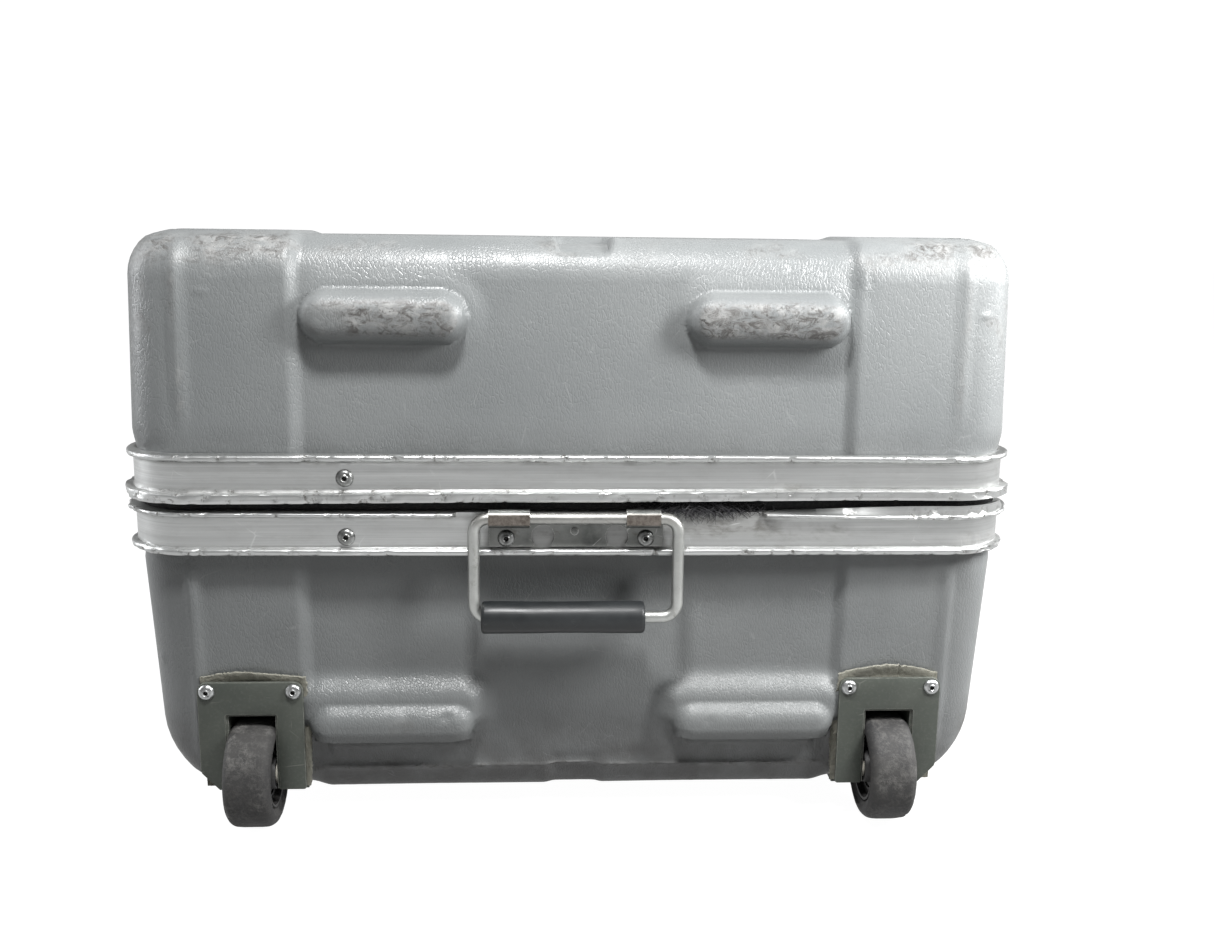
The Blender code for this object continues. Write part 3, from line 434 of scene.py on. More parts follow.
MATERIALS = {
    "shell_plastic": shell_material(),
    "frame_aluminium": aluminium_material(),
    "seal_rubber": rubber_material(),
    "housing_paint": paint_material(),
    "pad_fibre": pad_material(),
    "zinc_steel": zinc_material(
        "zinc_steel_finish", (0.56, 0.57, 0.55), (0.38, 0.39, 0.375), (0.16, 0.12, 0.08)
    ),
    "stained_zinc": zinc_material(
        "stained_zinc_finish", (0.27, 0.275, 0.265), (0.10, 0.105, 0.10), (0.085, 0.07, 0.055), 0.7
    ),
    "zinc_wire": zinc_material(
        "zinc_wire_finish", (0.60, 0.61, 0.59), (0.40, 0.41, 0.395), (0.10, 0.08, 0.06), 0.45
    ),
    "stay_steel": zinc_material(
        "stay_steel_finish", (0.52, 0.50, 0.45), (0.40, 0.385, 0.34), (0.20, 0.16, 0.10)
    ),
    "rivet_aluminium": rivet_material("rivet_aluminium_finish", (0.40, 0.41, 0.41), (0.62, 0.63, 0.63)),
    "dull_rivet": rivet_material("dull_rivet_finish", (0.20, 0.205, 0.20), (0.38, 0.385, 0.38)),
    "lining_fibre": fibre_material(),
    "grip_plastic": grip_material(),
    "tyre_rubber": tyre_material(),
    "hub_plastic": hub_material(),
    "bush_nylon": nylon_material(),
}


# Rings round the case


def round_case(xs, ys, half_x, half_y, radius, turns):
    """Places round a rounded rectangle, anticlockwise from the front left: x, y and the outward direction.

    Each side has a straight run, at xs or ys, and then a corner, at the turns from 0 to 90 degrees.
    """
    found = []
    for side, (run, sx, sy) in enumerate(((xs, 1, -1), (ys, 1, 1), (-xs, -1, 1), (-ys, -1, -1))):
        way = (side - 1) * math.pi / 2
        out_x, out_y = round(math.cos(way)), round(math.sin(way))
        found += [(p if out_y else out_x * half_x, p if out_x else out_y * half_y, out_x, out_y) for p in run]
        for turn in turns:
            c, s = math.cos(way + turn), math.sin(way + turn)
            found.append((sx * (half_x - radius) + radius * c, sy * (half_y - radius) + radius * s, c, s))
    return np.array(found)


def breakpoints(*stretches):
    """Sorted positions: each stretch is (from, to, spacing), and neighbours share their ends."""
    found = []
    for low, high, gap in stretches:
        count = max(1, round((high - low) / gap))
        found += [low + (high - low) * i / count for i in range(count)]
    return found + [stretches[-1][1]]


def mirrored(*stretches):
    positive = breakpoints(*stretches)
    return np.array([-x for x in positive[:0:-1]] + positive)


# Moulded shells: a fine grid wrapped round the case, raised by its relief

ZONE_X, ZONE_Y = 0.1620, 0.2025  # the inner edges of the raised corner zones
FIXED_X, FIXED_Y = 0.1900, 0.2150  # up to here the grid's lines run straight up the walls
XS = mirrored(
    (0.0, 0.026, 0.0018),
    (0.026, 0.050, 0.0030),
    (0.050, 0.084, 0.0015),
    (0.084, 0.140, 0.0022),
    (0.140, 0.176, 0.0015),
    (0.176, 0.2255, 0.0028),
)
YS = mirrored((0.0, 0.192, 0.0080), (0.192, 0.213, 0.0018), (0.213, 0.2690, 0.0070))
COARSE_XS = mirrored((0.0, 0.150, 0.0150), (0.150, 0.2255, 0.0120))
COARSE_YS = mirrored((0.0, 0.2690, 0.0220))


def stretched(values, fixed, limit):
    """Positions stay as they are up to fixed, and beyond it are stretched to end at the limit."""
    moved = fixed + (np.abs(values) - fixed) * (limit - fixed) / (values[-1] - fixed)
    return np.where(np.abs(values) > fixed, np.sign(values) * moved, values)


def skin(xs, ys, heights, shape, arc):
    """Grid mesh over the walls and the closed end. Shape gives the sizes of the section at a height."""
    points, faces, rings = [], [], []
    turns = [math.radians(90 * i / arc) for i in range(1, arc)]
    for height in heights:
        half_x, half_y, radius, z = shape(height)
        x, y = stretched(xs, FIXED_X, half_x - radius), stretched(ys, FIXED_Y, half_y - radius)
        ring = [(px, py, z) for px, py, _, _ in round_case(x, y, half_x, half_y, radius, turns)]
        rings.append(range(len(points), len(points) + len(ring)))
        points += ring
    for low, high in zip(rings, rings[1:]):
        faces += [(low[i - 1], low[i], high[i], high[i - 1]) for i in range(len(low))]
    wide = len(x)
    for j in range(len(y) - 1):
        starts = [len(points) + j * wide + i for i in range(wide - 1)]
        faces += [(k, k + 1, k + wide + 1, k + wide) for k in starts]
    points += [(px, py, z) for py in y for px in x]
    mesh = mesh_from(points, faces)
    with edited(mesh) as bm:
        bmesh.ops.remove_doubles(bm, verts=bm.verts, dist=0.00008)
        bmesh.ops.recalc_face_normals(bm, faces=bm.faces)
    return mesh


def rounded_in(height, radius):
    if height >= radius:
        return 0.0
    return radius - math.sqrt(max(radius**2 - (radius - height) ** 2, 0.0))


def end_heights(side_round, end_round, steps):
    """Heights over the rounded edge of the closed end, below the larger of its two radii."""
    found = {
        round(radius * (1 - math.cos(math.pi / 2 * i / steps)), 5)
        for radius in (side_round, end_round)
        for i in range(steps + 1)
    }
    kept = [-1.0]
    for height in sorted(found):
        if height - kept[-1] > 0.0003 and height < max(side_round, end_round):
            kept.append(height)
    return kept


def side_swell(z):
    """How far the long sides stand out beyond the end walls' draft, clear of the frames."""
    up, down = z - PARTING, PARTING - z
    return 0.0026 * smooth(0.030, 0.045, up) + (0.0016 + 0.0344 * down) * smooth(0.024, 0.036, down)


def make_shape(rim_z, end_z, inset, draft, side_round, end_round, wall=0.0):
    """Half x, half y, corner radius and z by height above a shell's closed end. A wall gives the inner face.

    A negative height gives a section with square corners, where the grid of the end joins on.
    """
    towards = 1 if rim_z > end_z else -1
    side_round, end_round = side_round - wall, end_round - wall

    def shape(height):
        above = max(height, 0.0)
        z = end_z + towards * (above + wall)
        drawn = inset + ZONE_RISE + wall + draft * abs(rim_z - z)
        x_in, y_in = rounded_in(above, side_round), rounded_in(above, end_round)
        radius = max(SHELL_CORNER - wall - (x_in + y_in) / 2, 0.0) if height >= 0 else 0.0
        return HALF_X - drawn - x_in + float(side_swell(z)), HALF_Y - drawn - y_in, radius, z

    return shape


def stadium(x, z, low_x, high_x, low_z, high_z, radius):
    """Distance inside (positive) a rounded rectangle."""
    dx = np.abs(x - (low_x + high_x) / 2) - ((high_x - low_x) / 2 - radius)
    dz = np.abs(z - (low_z + high_z) / 2) - ((high_z - low_z) / 2 - radius)
    outside = np.hypot(np.maximum(dx, 0), np.maximum(dz, 0))
    return radius - outside - np.minimum(np.maximum(dx, dz), 0)


def dome(distance, width):
    """0 at the foot to 1 along the crest of a boss with a round section and a small fillet at its foot."""
    t = np.clip(distance / width, 0.0, 1.0)
    return np.sqrt(1 - (1 - t) ** 2.4) * smooth(0.0, 0.15, t)


def step_up(value, edge, width):
    return smooth(edge - width / 2, edge + width / 2, value)


def zone_mask(points, x_edge, y_edge, width):
    return step_up(np.abs(points[:, 0]), x_edge, width) * step_up(np.abs(points[:, 1]), y_edge, width)


def spots(x, z, marks):
    """Small dents and raised burrs: each is (x, height, half width, half height, turn in degrees, rise)."""
    found = np.zeros(len(x))
    for cx, cz, wide, high, turn, rise in marks:
        c, s = math.cos(math.radians(turn)), math.sin(math.radians(turn))
        along = ((x - cx) * c + (z - cz) * s) / wide
        across = ((z - cz) * c - (x - cx) * s) / high
        found += rise * np.exp(-(along**2 + across**2))
    return found


LID_MARKS = (
    (-0.2120, 0.1240, 0.0022, 0.0016, 20, 0.0011),
    (-0.2300, 0.1120, 0.0040, 0.0014, 80, -0.0008),
    (-0.2460, 0.0370, 0.0022, 0.0030, 0, 0.0010),
    (-0.2050, 0.1350, 0.0050, 0.0013, 30, -0.0007),
    (0.1310, 0.1490, 0.0110, 0.0015, 12, -0.0007),
    (0.1700, 0.1330, 0.0030, 0.0016, 60, -0.0012),
    (0.2380, 0.1140, 0.0026, 0.0018, 10, 0.0009),
    (-0.1050, 0.1480, 0.0060, 0.0012, -20, -0.0006),
    (-0.0120, 0.0745, 0.0016, 0.0010, 30, -0.0007),
)
BASE_MARKS = (
    (-0.0780, -0.1300, 0.0040, 0.0022, 25, -0.0016),
    (-0.1030, -0.1270, 0.0016, 0.0030, 10, -0.0007),
    (-0.0990, -0.1310, 0.0014, 0.0026, -25, -0.0007),
    (0.1090, -0.1280, 0.0020, 0.0018, 0, -0.0008),
    (0.0820, -0.1330, 0.0030, 0.0016, 20, -0.0007),
    (-0.2460, -0.0960, 0.0016, 0.0030, 0, 0.0009),
    (-0.0600, -0.0640, 0.0050, 0.0012, 10, -0.0004),
)


def corner_crease(x, y, level):
    """A faint raised line down each corner, where its front face turns into the side."""
    return 0.0026 * level * ridge(np.abs(x), 0.2270, 0.0030) * smooth(0.262, 0.270, np.abs(y))


def lid_relief(points):
    """How far each point of the lid is raised, how far it is up a boss, and its notch, ridges and dents."""
    x, y, z = points.T
    up, side, end = z - PARTING, np.abs(x), np.abs(y)
    top = smooth(0.150, 0.1560, up)
    raised = ZONE_RISE * zone_mask(points, ZONE_X, ZONE_Y, 0.009) * (1 - top * np.where(y > 0, 0.90, 0.5))
    inside = stadium(side, up, 0.0620, 0.1600, 0.0940, 0.1268, 0.0163)
    apron = 0.13 * smooth(-0.0130, 0.0010, inside)
    boss = np.maximum(dome(inside, 0.0155), apron) * smooth(0.262, 0.272, end)
    wall_rise = ZONE_RISE + LID_INSET + LID_DRAFT * (z - LID_RIM)
    reach = np.maximum(wall_rise + 0.0068 + (up - 0.113) * 0.07 - raised, 0.0)
    off = np.abs(x + 0.004 * np.sign(y))
    notch = smooth(0.0170, 0.0115, off) * smooth(0.1490, 0.1530, up) * smooth(0.245, 0.262, end)
    lip = ridge(off, 0.0185, 0.003) * top * smooth(0.265, 0.28, end)
    crown = 0.0005 * top * smooth(0.255, 0.10, side) * smooth(0.290, 0.12, end)
    crease = corner_crease(x, y, smooth(0.034, 0.075, up) * smooth(0.152, 0.138, up))
    dents = spots(x, up, LID_MARKS) * smooth(-0.27, -0.28, y)
    return raised + boss * reach, boss, -0.0085 * notch + 0.0010 * lip + crown + crease + dents


def base_relief(points):
    x, y, z = points.T
    down, side, end = PARTING - z, np.abs(x), np.abs(y)
    low_down = smooth(0.160, 0.176, down)
    zone = smooth(0.0, 1.0, (side - ZONE_X + 0.005 * low_down) / (0.009 + 0.006 * low_down) + 0.5)
    raised = ZONE_RISE * zone * smooth(0.198, 0.207, end)
    tube_like = dome(stadium(side, -down, 0.0590, 0.1620, -0.1525, -0.1225, 0.0150), 0.0130)
    shoulder = smooth(0.0, 0.0170, stadium(side, -down, 0.0470, 0.1740, -0.1560, -0.0985, 0.0240))
    shoulder *= 0.62 * smooth(0.1000, 0.1220, down) * smooth(0.154, 0.132, down)
    boss = (tube_like**4 + shoulder**4) ** 0.25 * smooth(0.262, 0.272, end)
    wall_rise = ZONE_RISE + BASE_INSET + BASE_DRAFT * (BASE_RIM - z)
    reach = np.maximum(wall_rise - 0.0005 - raised, 0.0)
    notch = smooth(0.019, 0.010, side) * smooth(0.158, 0.170, down) * smooth(0.268, 0.284, end)
    crease = corner_crease(x, y, smooth(0.168, 0.150, down) * smooth(0.030, 0.045, down))
    rough_rim = ridge(down, 0.1688, 0.0015) * smooth(0.160, 0.145, side) * smooth(0.27, 0.28, end)
    dents = spots(x, -down, BASE_MARKS) * smooth(-0.25, -0.27, y)
    return raised + boss * reach, boss, -0.0028 * notch + crease + 0.0018 * rough_rim + dents


def lip_hang(points):
    """How far the lip between the wheels hangs below the rest of the bottom."""
    x, y, z = points.T
    low = smooth(0.1696, 0.1770, PARTING - z)
    return 0.0090 * low * smooth(0.165, 0.150, np.abs(x)) * smooth(-0.240, -0.262, y)


def raise_relief(mesh, relief):
    """Moves a skin out by its relief: a boss straight out of its end wall, and the rest along the normals."""
    points, out = coordinates(mesh), normals(mesh)
    raised, boss, marks = relief(points)
    straight = np.sign(points[:, 1:2]) * (0.0, 1.0, 0.0)
    along = np.where(boss[:, None] > 0.001, straight, out)
    put_coordinates(mesh, points + along * raised[:, None] + out * marks[:, None])
    return points, boss


# Wear of the lid, with a painted highlight along its corner creases, and painted shade round the bosses' feet
# and just above the frame
def lid_wear_highlight_and_shade(plain, boss):
    x, y, z = plain.T
    up, side = z - PARTING, np.abs(x)
    ragged, fine = noise_at(plain, 38.0, 1.0), noise_at(plain, 110.0, 2.0)
    spared = near(x, -0.162, -0.128, 0.008) * smooth(-0.35, 0.15, ragged) * smooth(0, 1, boss)
    top = smooth(0.80, 0.90, boss + fine * 0.05) * smooth(-0.75, -0.25, ragged + fine * 0.4 + 0.1)
    top *= 1 - 0.75 * spared
    crown = smooth(0.134, 0.146, up) * smooth(0.1575, 0.150, up)
    zone = zone_mask(plain, 0.1640, 0.2045, 0.010) * crown * smooth(-0.45, 0.15, ragged + fine * 0.4) * 0.90
    edge = crown * smooth(0.25, 0.6, ragged + fine * 0.5) * 0.5
    corner = near(side, 0.2400, 0.2560, 0.004) * smooth(0.080, 0.120, up)
    corner *= smooth(0.15, 0.45, fine + 0.1) * 0.6
    # Painted highlight down each corner crease, drawn as a pale worn line
    crease = near(side, 0.2262, 0.2280, 0.0012) * near(up, 0.060, 0.146, 0.012)
    crease *= smooth(-0.5, 0.2, fine) * 0.55
    # Painted shade round the foot of each boss and on the lid just above its frame
    foot = smooth(0.13, 0.30, boss) * smooth(0.80, 0.45, boss) * 0.18
    dirt_and_shade = np.maximum(smooth(0.054, 0.034, up) * 0.3, foot)
    return np.max((top, zone, edge, corner, crease), axis=0), dirt_and_shade


def base_wear_and_shade(plain, boss):
    x, y, z = plain.T
    down, side = PARTING - z, np.abs(x)
    ragged, fine = noise_at(plain, 38.0, 11.0), noise_at(plain, 120.0, 12.0)
    face = smooth(0.95, 1.0, boss)
    rubbed = face * smooth(0.18, 0.5, ragged + fine * 0.5) * 0.30
    rim = smooth(0.1668, 0.1682, down) * smooth(0.1712, 0.1698, down) * smooth(0.262, 0.272, np.abs(y))
    rim *= smooth(-0.6, 0.0, fine)
    low_edge = face * near(down, 0.1440, 0.1500, 0.0015) * smooth(-0.2, 0.3, fine) * 0.7
    corner = smooth(0.238, 0.250, side) * smooth(0.10, 0.15, down)
    corner *= smooth(0.0, 0.5, ragged + fine * 0.4) * 0.7
    bottom = smooth(0.1745, 0.1765, down) * smooth(0.0, 0.5, ragged + 0.1) * 0.45
    # Painted shade: under the lip between the wheels, darker towards the bottom away from the bosses' faces,
    # along the frame, and at least a little over the whole base
    under = 1.3 * smooth(0.1700, 0.1712, down) * smooth(-0.24, -0.26, y) * smooth(0.170, 0.160, side)
    low = 0.95 * smooth(0.105, 0.165, down) * smooth(0.9, 0.3, boss)
    groove = smooth(0.040, 0.028, down) * 0.35
    dirt_and_shade = np.maximum(np.max((low, groove, under), axis=0), 0.22)
    return np.max((rubbed, rim, low_edge, corner, bottom), axis=0), dirt_and_shade


def build_shell(body, outside, fine, relief, wear_and_light_of):
    """Outside holds a shell's sizes, as make_shape takes them. Fine is the stretch of heights with bosses."""
    rim_z, end_z, *_, side_round, end_round = outside
    total, largest = abs(rim_z - end_z), max(side_round, end_round)
    low, high = fine
    heights = end_heights(side_round, end_round, 9)
    heights += breakpoints((largest, low, 0.0028), (low, high, 0.0015), (high, total, 0.0028))
    outer = skin(XS, YS, heights[::-1], make_shape(*outside), 26)
    plain, boss = raise_relief(outer, relief)
    # Wear, with painted highlights, and painted shade, from the shell's own function
    wear_and_highlight, dirt_and_shade = wear_and_light_of(plain, boss)
    waves, rough = noise_at(plain, 9.0, 3.0) * 0.00035, noise_at(plain, 240.0, 5.0) * wear_and_highlight * 0.00022
    hanging = lip_hang(plain)[:, None] * (0.0, 0.0, -1.0)
    put_coordinates(outer, coordinates(outer) + hanging + normals(outer) * (waves + rough)[:, None])
    set_attribute(outer, "wear_and_highlight", wear_and_highlight)
    set_attribute(outer, "dirt_and_shade", dirt_and_shade)

    heights = end_heights(side_round - SHELL_WALL, end_round - SHELL_WALL, 4)
    heights += breakpoints((largest - SHELL_WALL, total - SHELL_WALL, 0.012))
    inner = skin(COARSE_XS, COARSE_YS, heights[::-1], make_shape(*outside, SHELL_WALL), 6)
    with edited(inner) as bm:
        bmesh.ops.reverse_faces(bm, faces=bm.faces)
    puff(inner, -ZONE_RISE * zone_mask(coordinates(inner), 0.1590, 0.1995, 0.016))
    mesh = joined([outer, inner])
    with edited(mesh) as bm:
        bmesh.ops.bridge_loops(bm, edges=[e for e in bm.edges if e.is_boundary])
        bmesh.ops.recalc_face_normals(bm, faces=bm.faces)
        if bm.calc_volume(signed=True) < 0:
            bmesh.ops.reverse_faces(bm, faces=bm.faces)
    return new_object(f"{body}_moulding", mesh, body, "shell_plastic", f"{body}_shell", 60)


LID_OUTSIDE = (LID_RIM, LID_TOP, LID_INSET, LID_DRAFT, 0.0240, 0.0240)
BASE_OUTSIDE = (BASE_RIM, 0.0, BASE_INSET, BASE_DRAFT, 0.0380, 0.0100)
build_shell("lid", LID_OUTSIDE, (0.0250, LID_TOP - PARTING - 0.0860), lid_relief, lid_wear_highlight_and_shade)
BASE = build_shell("base", BASE_OUTSIDE, (PARTING - 0.1384, PARTING - 0.0990), base_relief, base_wear_and_shade)


# Wheel wells, cut up into the base moulding behind the housings

(_, HOUSING_FRONT, HOUSING_FOOT), (_, HOUSING_BACK, HOUSING_TOP) = span("left_wheel_bracket")
HOUSING_HALF = 0.0315
WELL_HALF = span("left_axle")[1][0] - centre("left_axle")[0] - 0.0034  # half the slot in a wheel housing
SLOT_TOP = HOUSING_TOP - 0.0205
CUP_WALL = 0.0015
WELL_ROOM = 0.0028  # round the housing's cup
PLATE_FOOT = -0.0005
SOLE_SET_BACK = 0.0160


def cut_wells(shell):
    """Cuts a box out of the front lower corners for each wheel, and closes the edge between the two faces."""
    room = WELL_HALF + CUP_WALL + WELL_ROOM
    with edited(shell.data) as bm:
        for place in WHEEL.values():
            low = Vector((place[0] - room, -HALF_Y - 0.02, -0.03))
            high = Vector((place[0] + room, HOUSING_BACK + WELL_ROOM, SLOT_TOP + 0.0043))

            def inside(face, grow=0.0):
                middle = face.calc_center_median()
                return all(a - grow < p < b + grow for a, p, b in zip(low, middle, high))

            planes = (((low.x, 0, 0), (1, 0, 0)), ((high.x, 0, 0), (1, 0, 0)))
            planes += (((0, 0, high.z), (0, 0, 1)), ((0, high.y, 0), (0, 1, 0)))
            for spot, way in planes:
                faces = [f for f in bm.faces if inside(f, 0.014)]
                geometry = {v for f in faces for v in f.verts} | {e for f in faces for e in f.edges}
                geometry |= set(faces)
                bmesh.ops.bisect_plane(bm, geom=list(geometry), dist=1e-7, plane_co=spot, plane_no=way)
            bmesh.ops.delete(bm, geom=[f for f in bm.faces if inside(f)], context="FACES")
            bmesh.ops.bridge_loops(bm, edges=[e for e in bm.edges if e.is_boundary])
    shade(shell.data, 60)


cut_wells(BASE)


# Valance frames and seal: sections swept closely round the case


def stations(front_gap, side_gap, arc):
    """Places round the frames' flats: x, y and the outward direction."""
    inner_x, inner_y = HALF_X - FRAME_CORNER, HALF_Y - FRAME_CORNER
    x = np.linspace(-inner_x, inner_x, round(2 * inner_x / front_gap) + 1)[:-1]
    y = np.linspace(-inner_y, inner_y, round(2 * inner_y / side_gap) + 1)[:-1]
    turns = np.linspace(0, math.pi / 2, arc + 1)[:-1]
    return round_case(x, y, HALF_X, HALF_Y, FRAME_CORNER, turns)


def tiled(section, places):
    """Out and height of each point of a section, repeated for each place."""
    return (np.tile([p[k] for p in section], (len(places), 1)) for k in (0, 1))


def swept(places, out, height):
    """Closed tube of sections. Out and height, from the parting plane, hold one row for each station."""
    count, ring = out.shape
    x, y = places[:, 0:1] + places[:, 2:3] * out, places[:, 1:2] + places[:, 3:4] * out
    points = np.stack([x, y, PARTING + height], axis=2).reshape(-1, 3)
    faces = []
    for i in range(count):
        a, b = i * ring, ((i + 1) % count) * ring
        faces += [(a + j, b + j, b + (j + 1) % ring, a + (j + 1) % ring) for j in range(ring)]
    return outward_faces(mesh_from(points, faces))


def flat_steps(low, high, gap):
    count = round(abs(high - low) / gap)
    return [(0.0, low + (high - low) * i / count) for i in range(count + 1)]


# Outward from the flats and upward from the parting plane, in order round each frame
LID_SECTION = (
    [(-0.0168, 0.0047), (-0.0100, 0.0047), (-0.0030, 0.0047), (0.0036, 0.0047)]
    + [(0.0050, 0.0049), (0.0054, 0.0055)]
    + [(0.00535, 0.0070), (0.0053, 0.0085), (0.0054, 0.0097), (0.0051, 0.0104)]
    + [(0.0042, 0.0107), (0.0025, 0.0106)]
    + [(0.0010, 0.0107), (0.0002, 0.0112)]
    + flat_steps(0.0118, 0.0272, 0.0016)
    + [(0.0005, 0.0278), (0.0018, 0.0281), (0.0030, 0.0286), (0.0036, 0.0295)]
    + [(0.0037, 0.0304), (0.0034, 0.0314)]
    + [(0.0025, 0.0320), (0.0012, 0.0323), (-0.0004, 0.0322), (-0.0014, 0.0323), (-0.0022, 0.0321)]
    + [(-0.0022, 0.0200), (-0.0022, 0.0069), (-0.0153, 0.0069), (-0.0153, 0.0247), (-0.0168, 0.0247)]
)
BASE_SECTION = (
    [(-0.0168, -0.0018), (-0.0100, -0.0018), (-0.0030, -0.0018), (0.0030, -0.0018), (0.0041, -0.0020)]
    + [(0.0046, -0.0026), (0.0046, -0.0034), (0.0041, -0.0041), (0.0028, -0.0045)]
    + [(0.0012, -0.0046), (0.0003, -0.0051)]
    + flat_steps(-0.0057, -0.0228, 0.0015)
    + [(0.0006, -0.0232), (0.0020, -0.0234), (0.0031, -0.0239), (0.0036, -0.0247), (0.0036, -0.0256)]
    + [(0.0034, -0.0266), (0.0027, -0.0274), (0.0014, -0.0278), (0.0, -0.0277)]
    + [(-0.0012, -0.0278), (-0.0022, -0.0277)]
    + [(-0.0022, -0.0160), (-0.0022, -0.0040), (-0.0153, -0.0040), (-0.0153, -0.0218), (-0.0168, -0.0218)]
)
HANDLE_GAPS = ((-1, -0.0700, 0.1100), (1, -0.0700, 0.0700))  # which end, and from where to where along it


def whole_bead(places, half_latch, handles):
    """1 where the beads at the parting plane are whole, 0 where they are cut away for the hardware."""
    x, y = places[:, 0], places[:, 1]
    whole = np.ones(len(places))
    for sign in (-1, 1):
        gaps = ((HINGE_Y, 0.0310, x < -HALF_X + 0.005), (LATCH_Y, half_latch, x > HALF_X - 0.005))
        for middle, half, here in gaps:
            whole *= 1 - near(y, sign * middle - half, sign * middle + half, 0.0015) * here
    for end, low, high in handles:
        whole *= 1 - near(x, low, high, 0.0025) * (y * end > HALF_Y - 0.005)
    return whole[:, None]


def lid_soot_and_shade(x, level, front, fine, nick):
    # Painted shadow under the top bead and painted shade in the crease above the lower lip
    grooves = np.maximum(near(level, 0.0108, 0.0114, 0.0010), near(level, 0.0272, 0.0279, 0.0006)) * 0.5
    patch = near(x, 0.1175, 0.1315, 0.0006) * near(level, 0.0122, 0.0152, 0.0008) * front * 0.55
    corner = smooth(0.225, 0.25, x) * front * near(level, 0.011, 0.026, 0.001) * 0.12
    return np.max((grooves, patch, corner), axis=0)


def base_soot_and_shade(x, level, front, fine, nick):
    # Painted shadow under the top bead and painted shade in the crease above the lower bead
    grooves = np.maximum(near(level, -0.0054, -0.0046, 0.0008), near(level, -0.0232, -0.0226, 0.0008)) * 0.5
    smear = near(x, 0.045, 0.105, 0.028) * near(level, -0.0125, -0.0040, 0.0070) * front
    brushed = near(x, 0.118, 0.158, 0.012) * near(level, -0.0180, -0.0100, 0.0030) * front
    brushed = brushed * (0.30 + 0.45 * np.abs(fine))
    # Painted shade behind the handle's plate
    under = near(x, -0.052, 0.052, 0.003) * front * near(level, -0.0225, -0.0050, 0.001) * 0.85
    low = smooth(0.222, 0.235, x) * near(level, -0.0215, -0.0160, 0.002) * front
    low = low * smooth(-0.2, 0.3, nick) * 0.75
    return np.max((grooves, smear, brushed, under, low), axis=0)


def build_valance(body, section, half_latch, handles, seed, soot_and_shade_of):
    """An extruded frame: its beads nicked and bent, as the lid sits a little askew at the front."""
    places = stations(0.0019, 0.0050, 16)
    out, level = tiled(section, places)
    x, y = places[:, 0:1], places[:, 1:2]
    front = smooth(-0.27, -0.29, y)
    bead = out > 0
    out = np.where(bead & (abs(level) < 0.0115), out * whole_bead(places, half_latch, handles), out)
    points = np.stack([x + 0 * out, y + 0 * out, PARTING + level], axis=2).reshape(-1, 3)
    corner = 0.32 + 0.68 * smooth(0.185, 0.235, np.abs(x))
    nick = noise_at(points, 210.0, seed).reshape(out.shape)
    fine = noise_at(points, 420.0, seed + 1).reshape(out.shape)
    nicked = smooth(0.20, 0.50, nick * 0.8 + fine * 0.45 + 0.20 * corner) * bead
    out = out - nicked * np.minimum(0.0011 * corner + 0.0002, np.maximum(out, 0))
    out = out - bead * fine * 0.00025 * corner
    sag = noise_at([(a, b, 0) for a, b, _, _ in places], 6.0, seed + 2)[:, None]
    height = level + bead * sag * 0.0006 + nicked * fine * 0.0005
    # How strong the painted shade inside the channel is: weaker where the base's bead opens out at the front
    # right
    dull = 1.0
    if body == "lid":
        lift = (0.0014 * smooth(0.02, 0.20, x) - 0.0007 * smooth(-0.02, -0.20, x)) * front
        height = height + lift * ((level < 0.0112) & (out > -0.0031))
    else:
        opened = smooth(0.085, 0.21, x) * front
        height = height - 0.0016 * opened * ((level > -0.0052) & (out > 0.0020))
        flat_top = np.arange(len(section)) == 2
        out = out + 0.0054 * opened * flat_top
        height = height + 0.0042 * opened * flat_top
        dull = 1 - smooth(0.085, 0.16, x) * front
    mesh = swept(places, out, height)
    wear_and_highlight = np.clip(nicked * 0.9 + bead * corner * smooth(-0.1, 0.5, nick) * 0.8, 0, 1)
    # Soot and smears, with painted shade in the grooves, behind the handle plate and inside the channel
    # behind the flats
    soot_and_shade = np.maximum(soot_and_shade_of(x, level, front, fine, nick), (out < -0.0005) * 0.55 * dull)
    set_attribute(mesh, "wear_and_highlight", wear_and_highlight.ravel())
    set_attribute(mesh, "dirt_and_shade", soot_and_shade.ravel())
    new_object(f"{body}_valance", mesh, body, "frame_aluminium", f"{body}_frame", 42)


build_valance("lid", LID_SECTION, 0.0145, (), 21.0, lid_soot_and_shade)
build_valance("base", BASE_SECTION, 0.0260, HANDLE_GAPS, 31.0, base_soot_and_shade)


def tube(paths, radii, sides, closed=False):
    """Round tubes along lists of points. Radii holds one number for each point of each path."""
    points, faces = [], []
    for path, widths in zip(paths, radii):
        path = np.asarray(path, float)
        if closed:
            ahead = np.roll(path, -1, axis=0) - np.roll(path, 1, axis=0)
        else:
            ahead = np.gradient(path, axis=0)
        ahead /= np.linalg.norm(ahead, axis=1)[:, None]
        start, rings = len(points), len(path)
        side = np.cross(ahead[0], (0.0, 1.0, 0.0) if abs(ahead[0][1]) < 0.9 else (1.0, 0.0, 0.0))
        for place, way, width in zip(path, ahead, widths):
            side = side - way * side.dot(way)
            side /= np.linalg.norm(side)
            other = np.cross(way, side)
            turns = [2 * math.pi * k / sides for k in range(sides)]
            points += [place + width * (math.cos(a) * side + math.sin(a) * other) for a in turns]
        for i in range(rings if closed else rings - 1):
            a, b = start + i * sides, start + ((i + 1) % rings) * sides
            faces += [(a + k, a + (k + 1) % sides, b + (k + 1) % sides, b + k) for k in range(sides)]
        if not closed:
            faces.append(tuple(range(start, start + sides))[::-1])
            faces.append(tuple(range(len(points) - sides, len(points))))
    return mesh_from(points, faces)


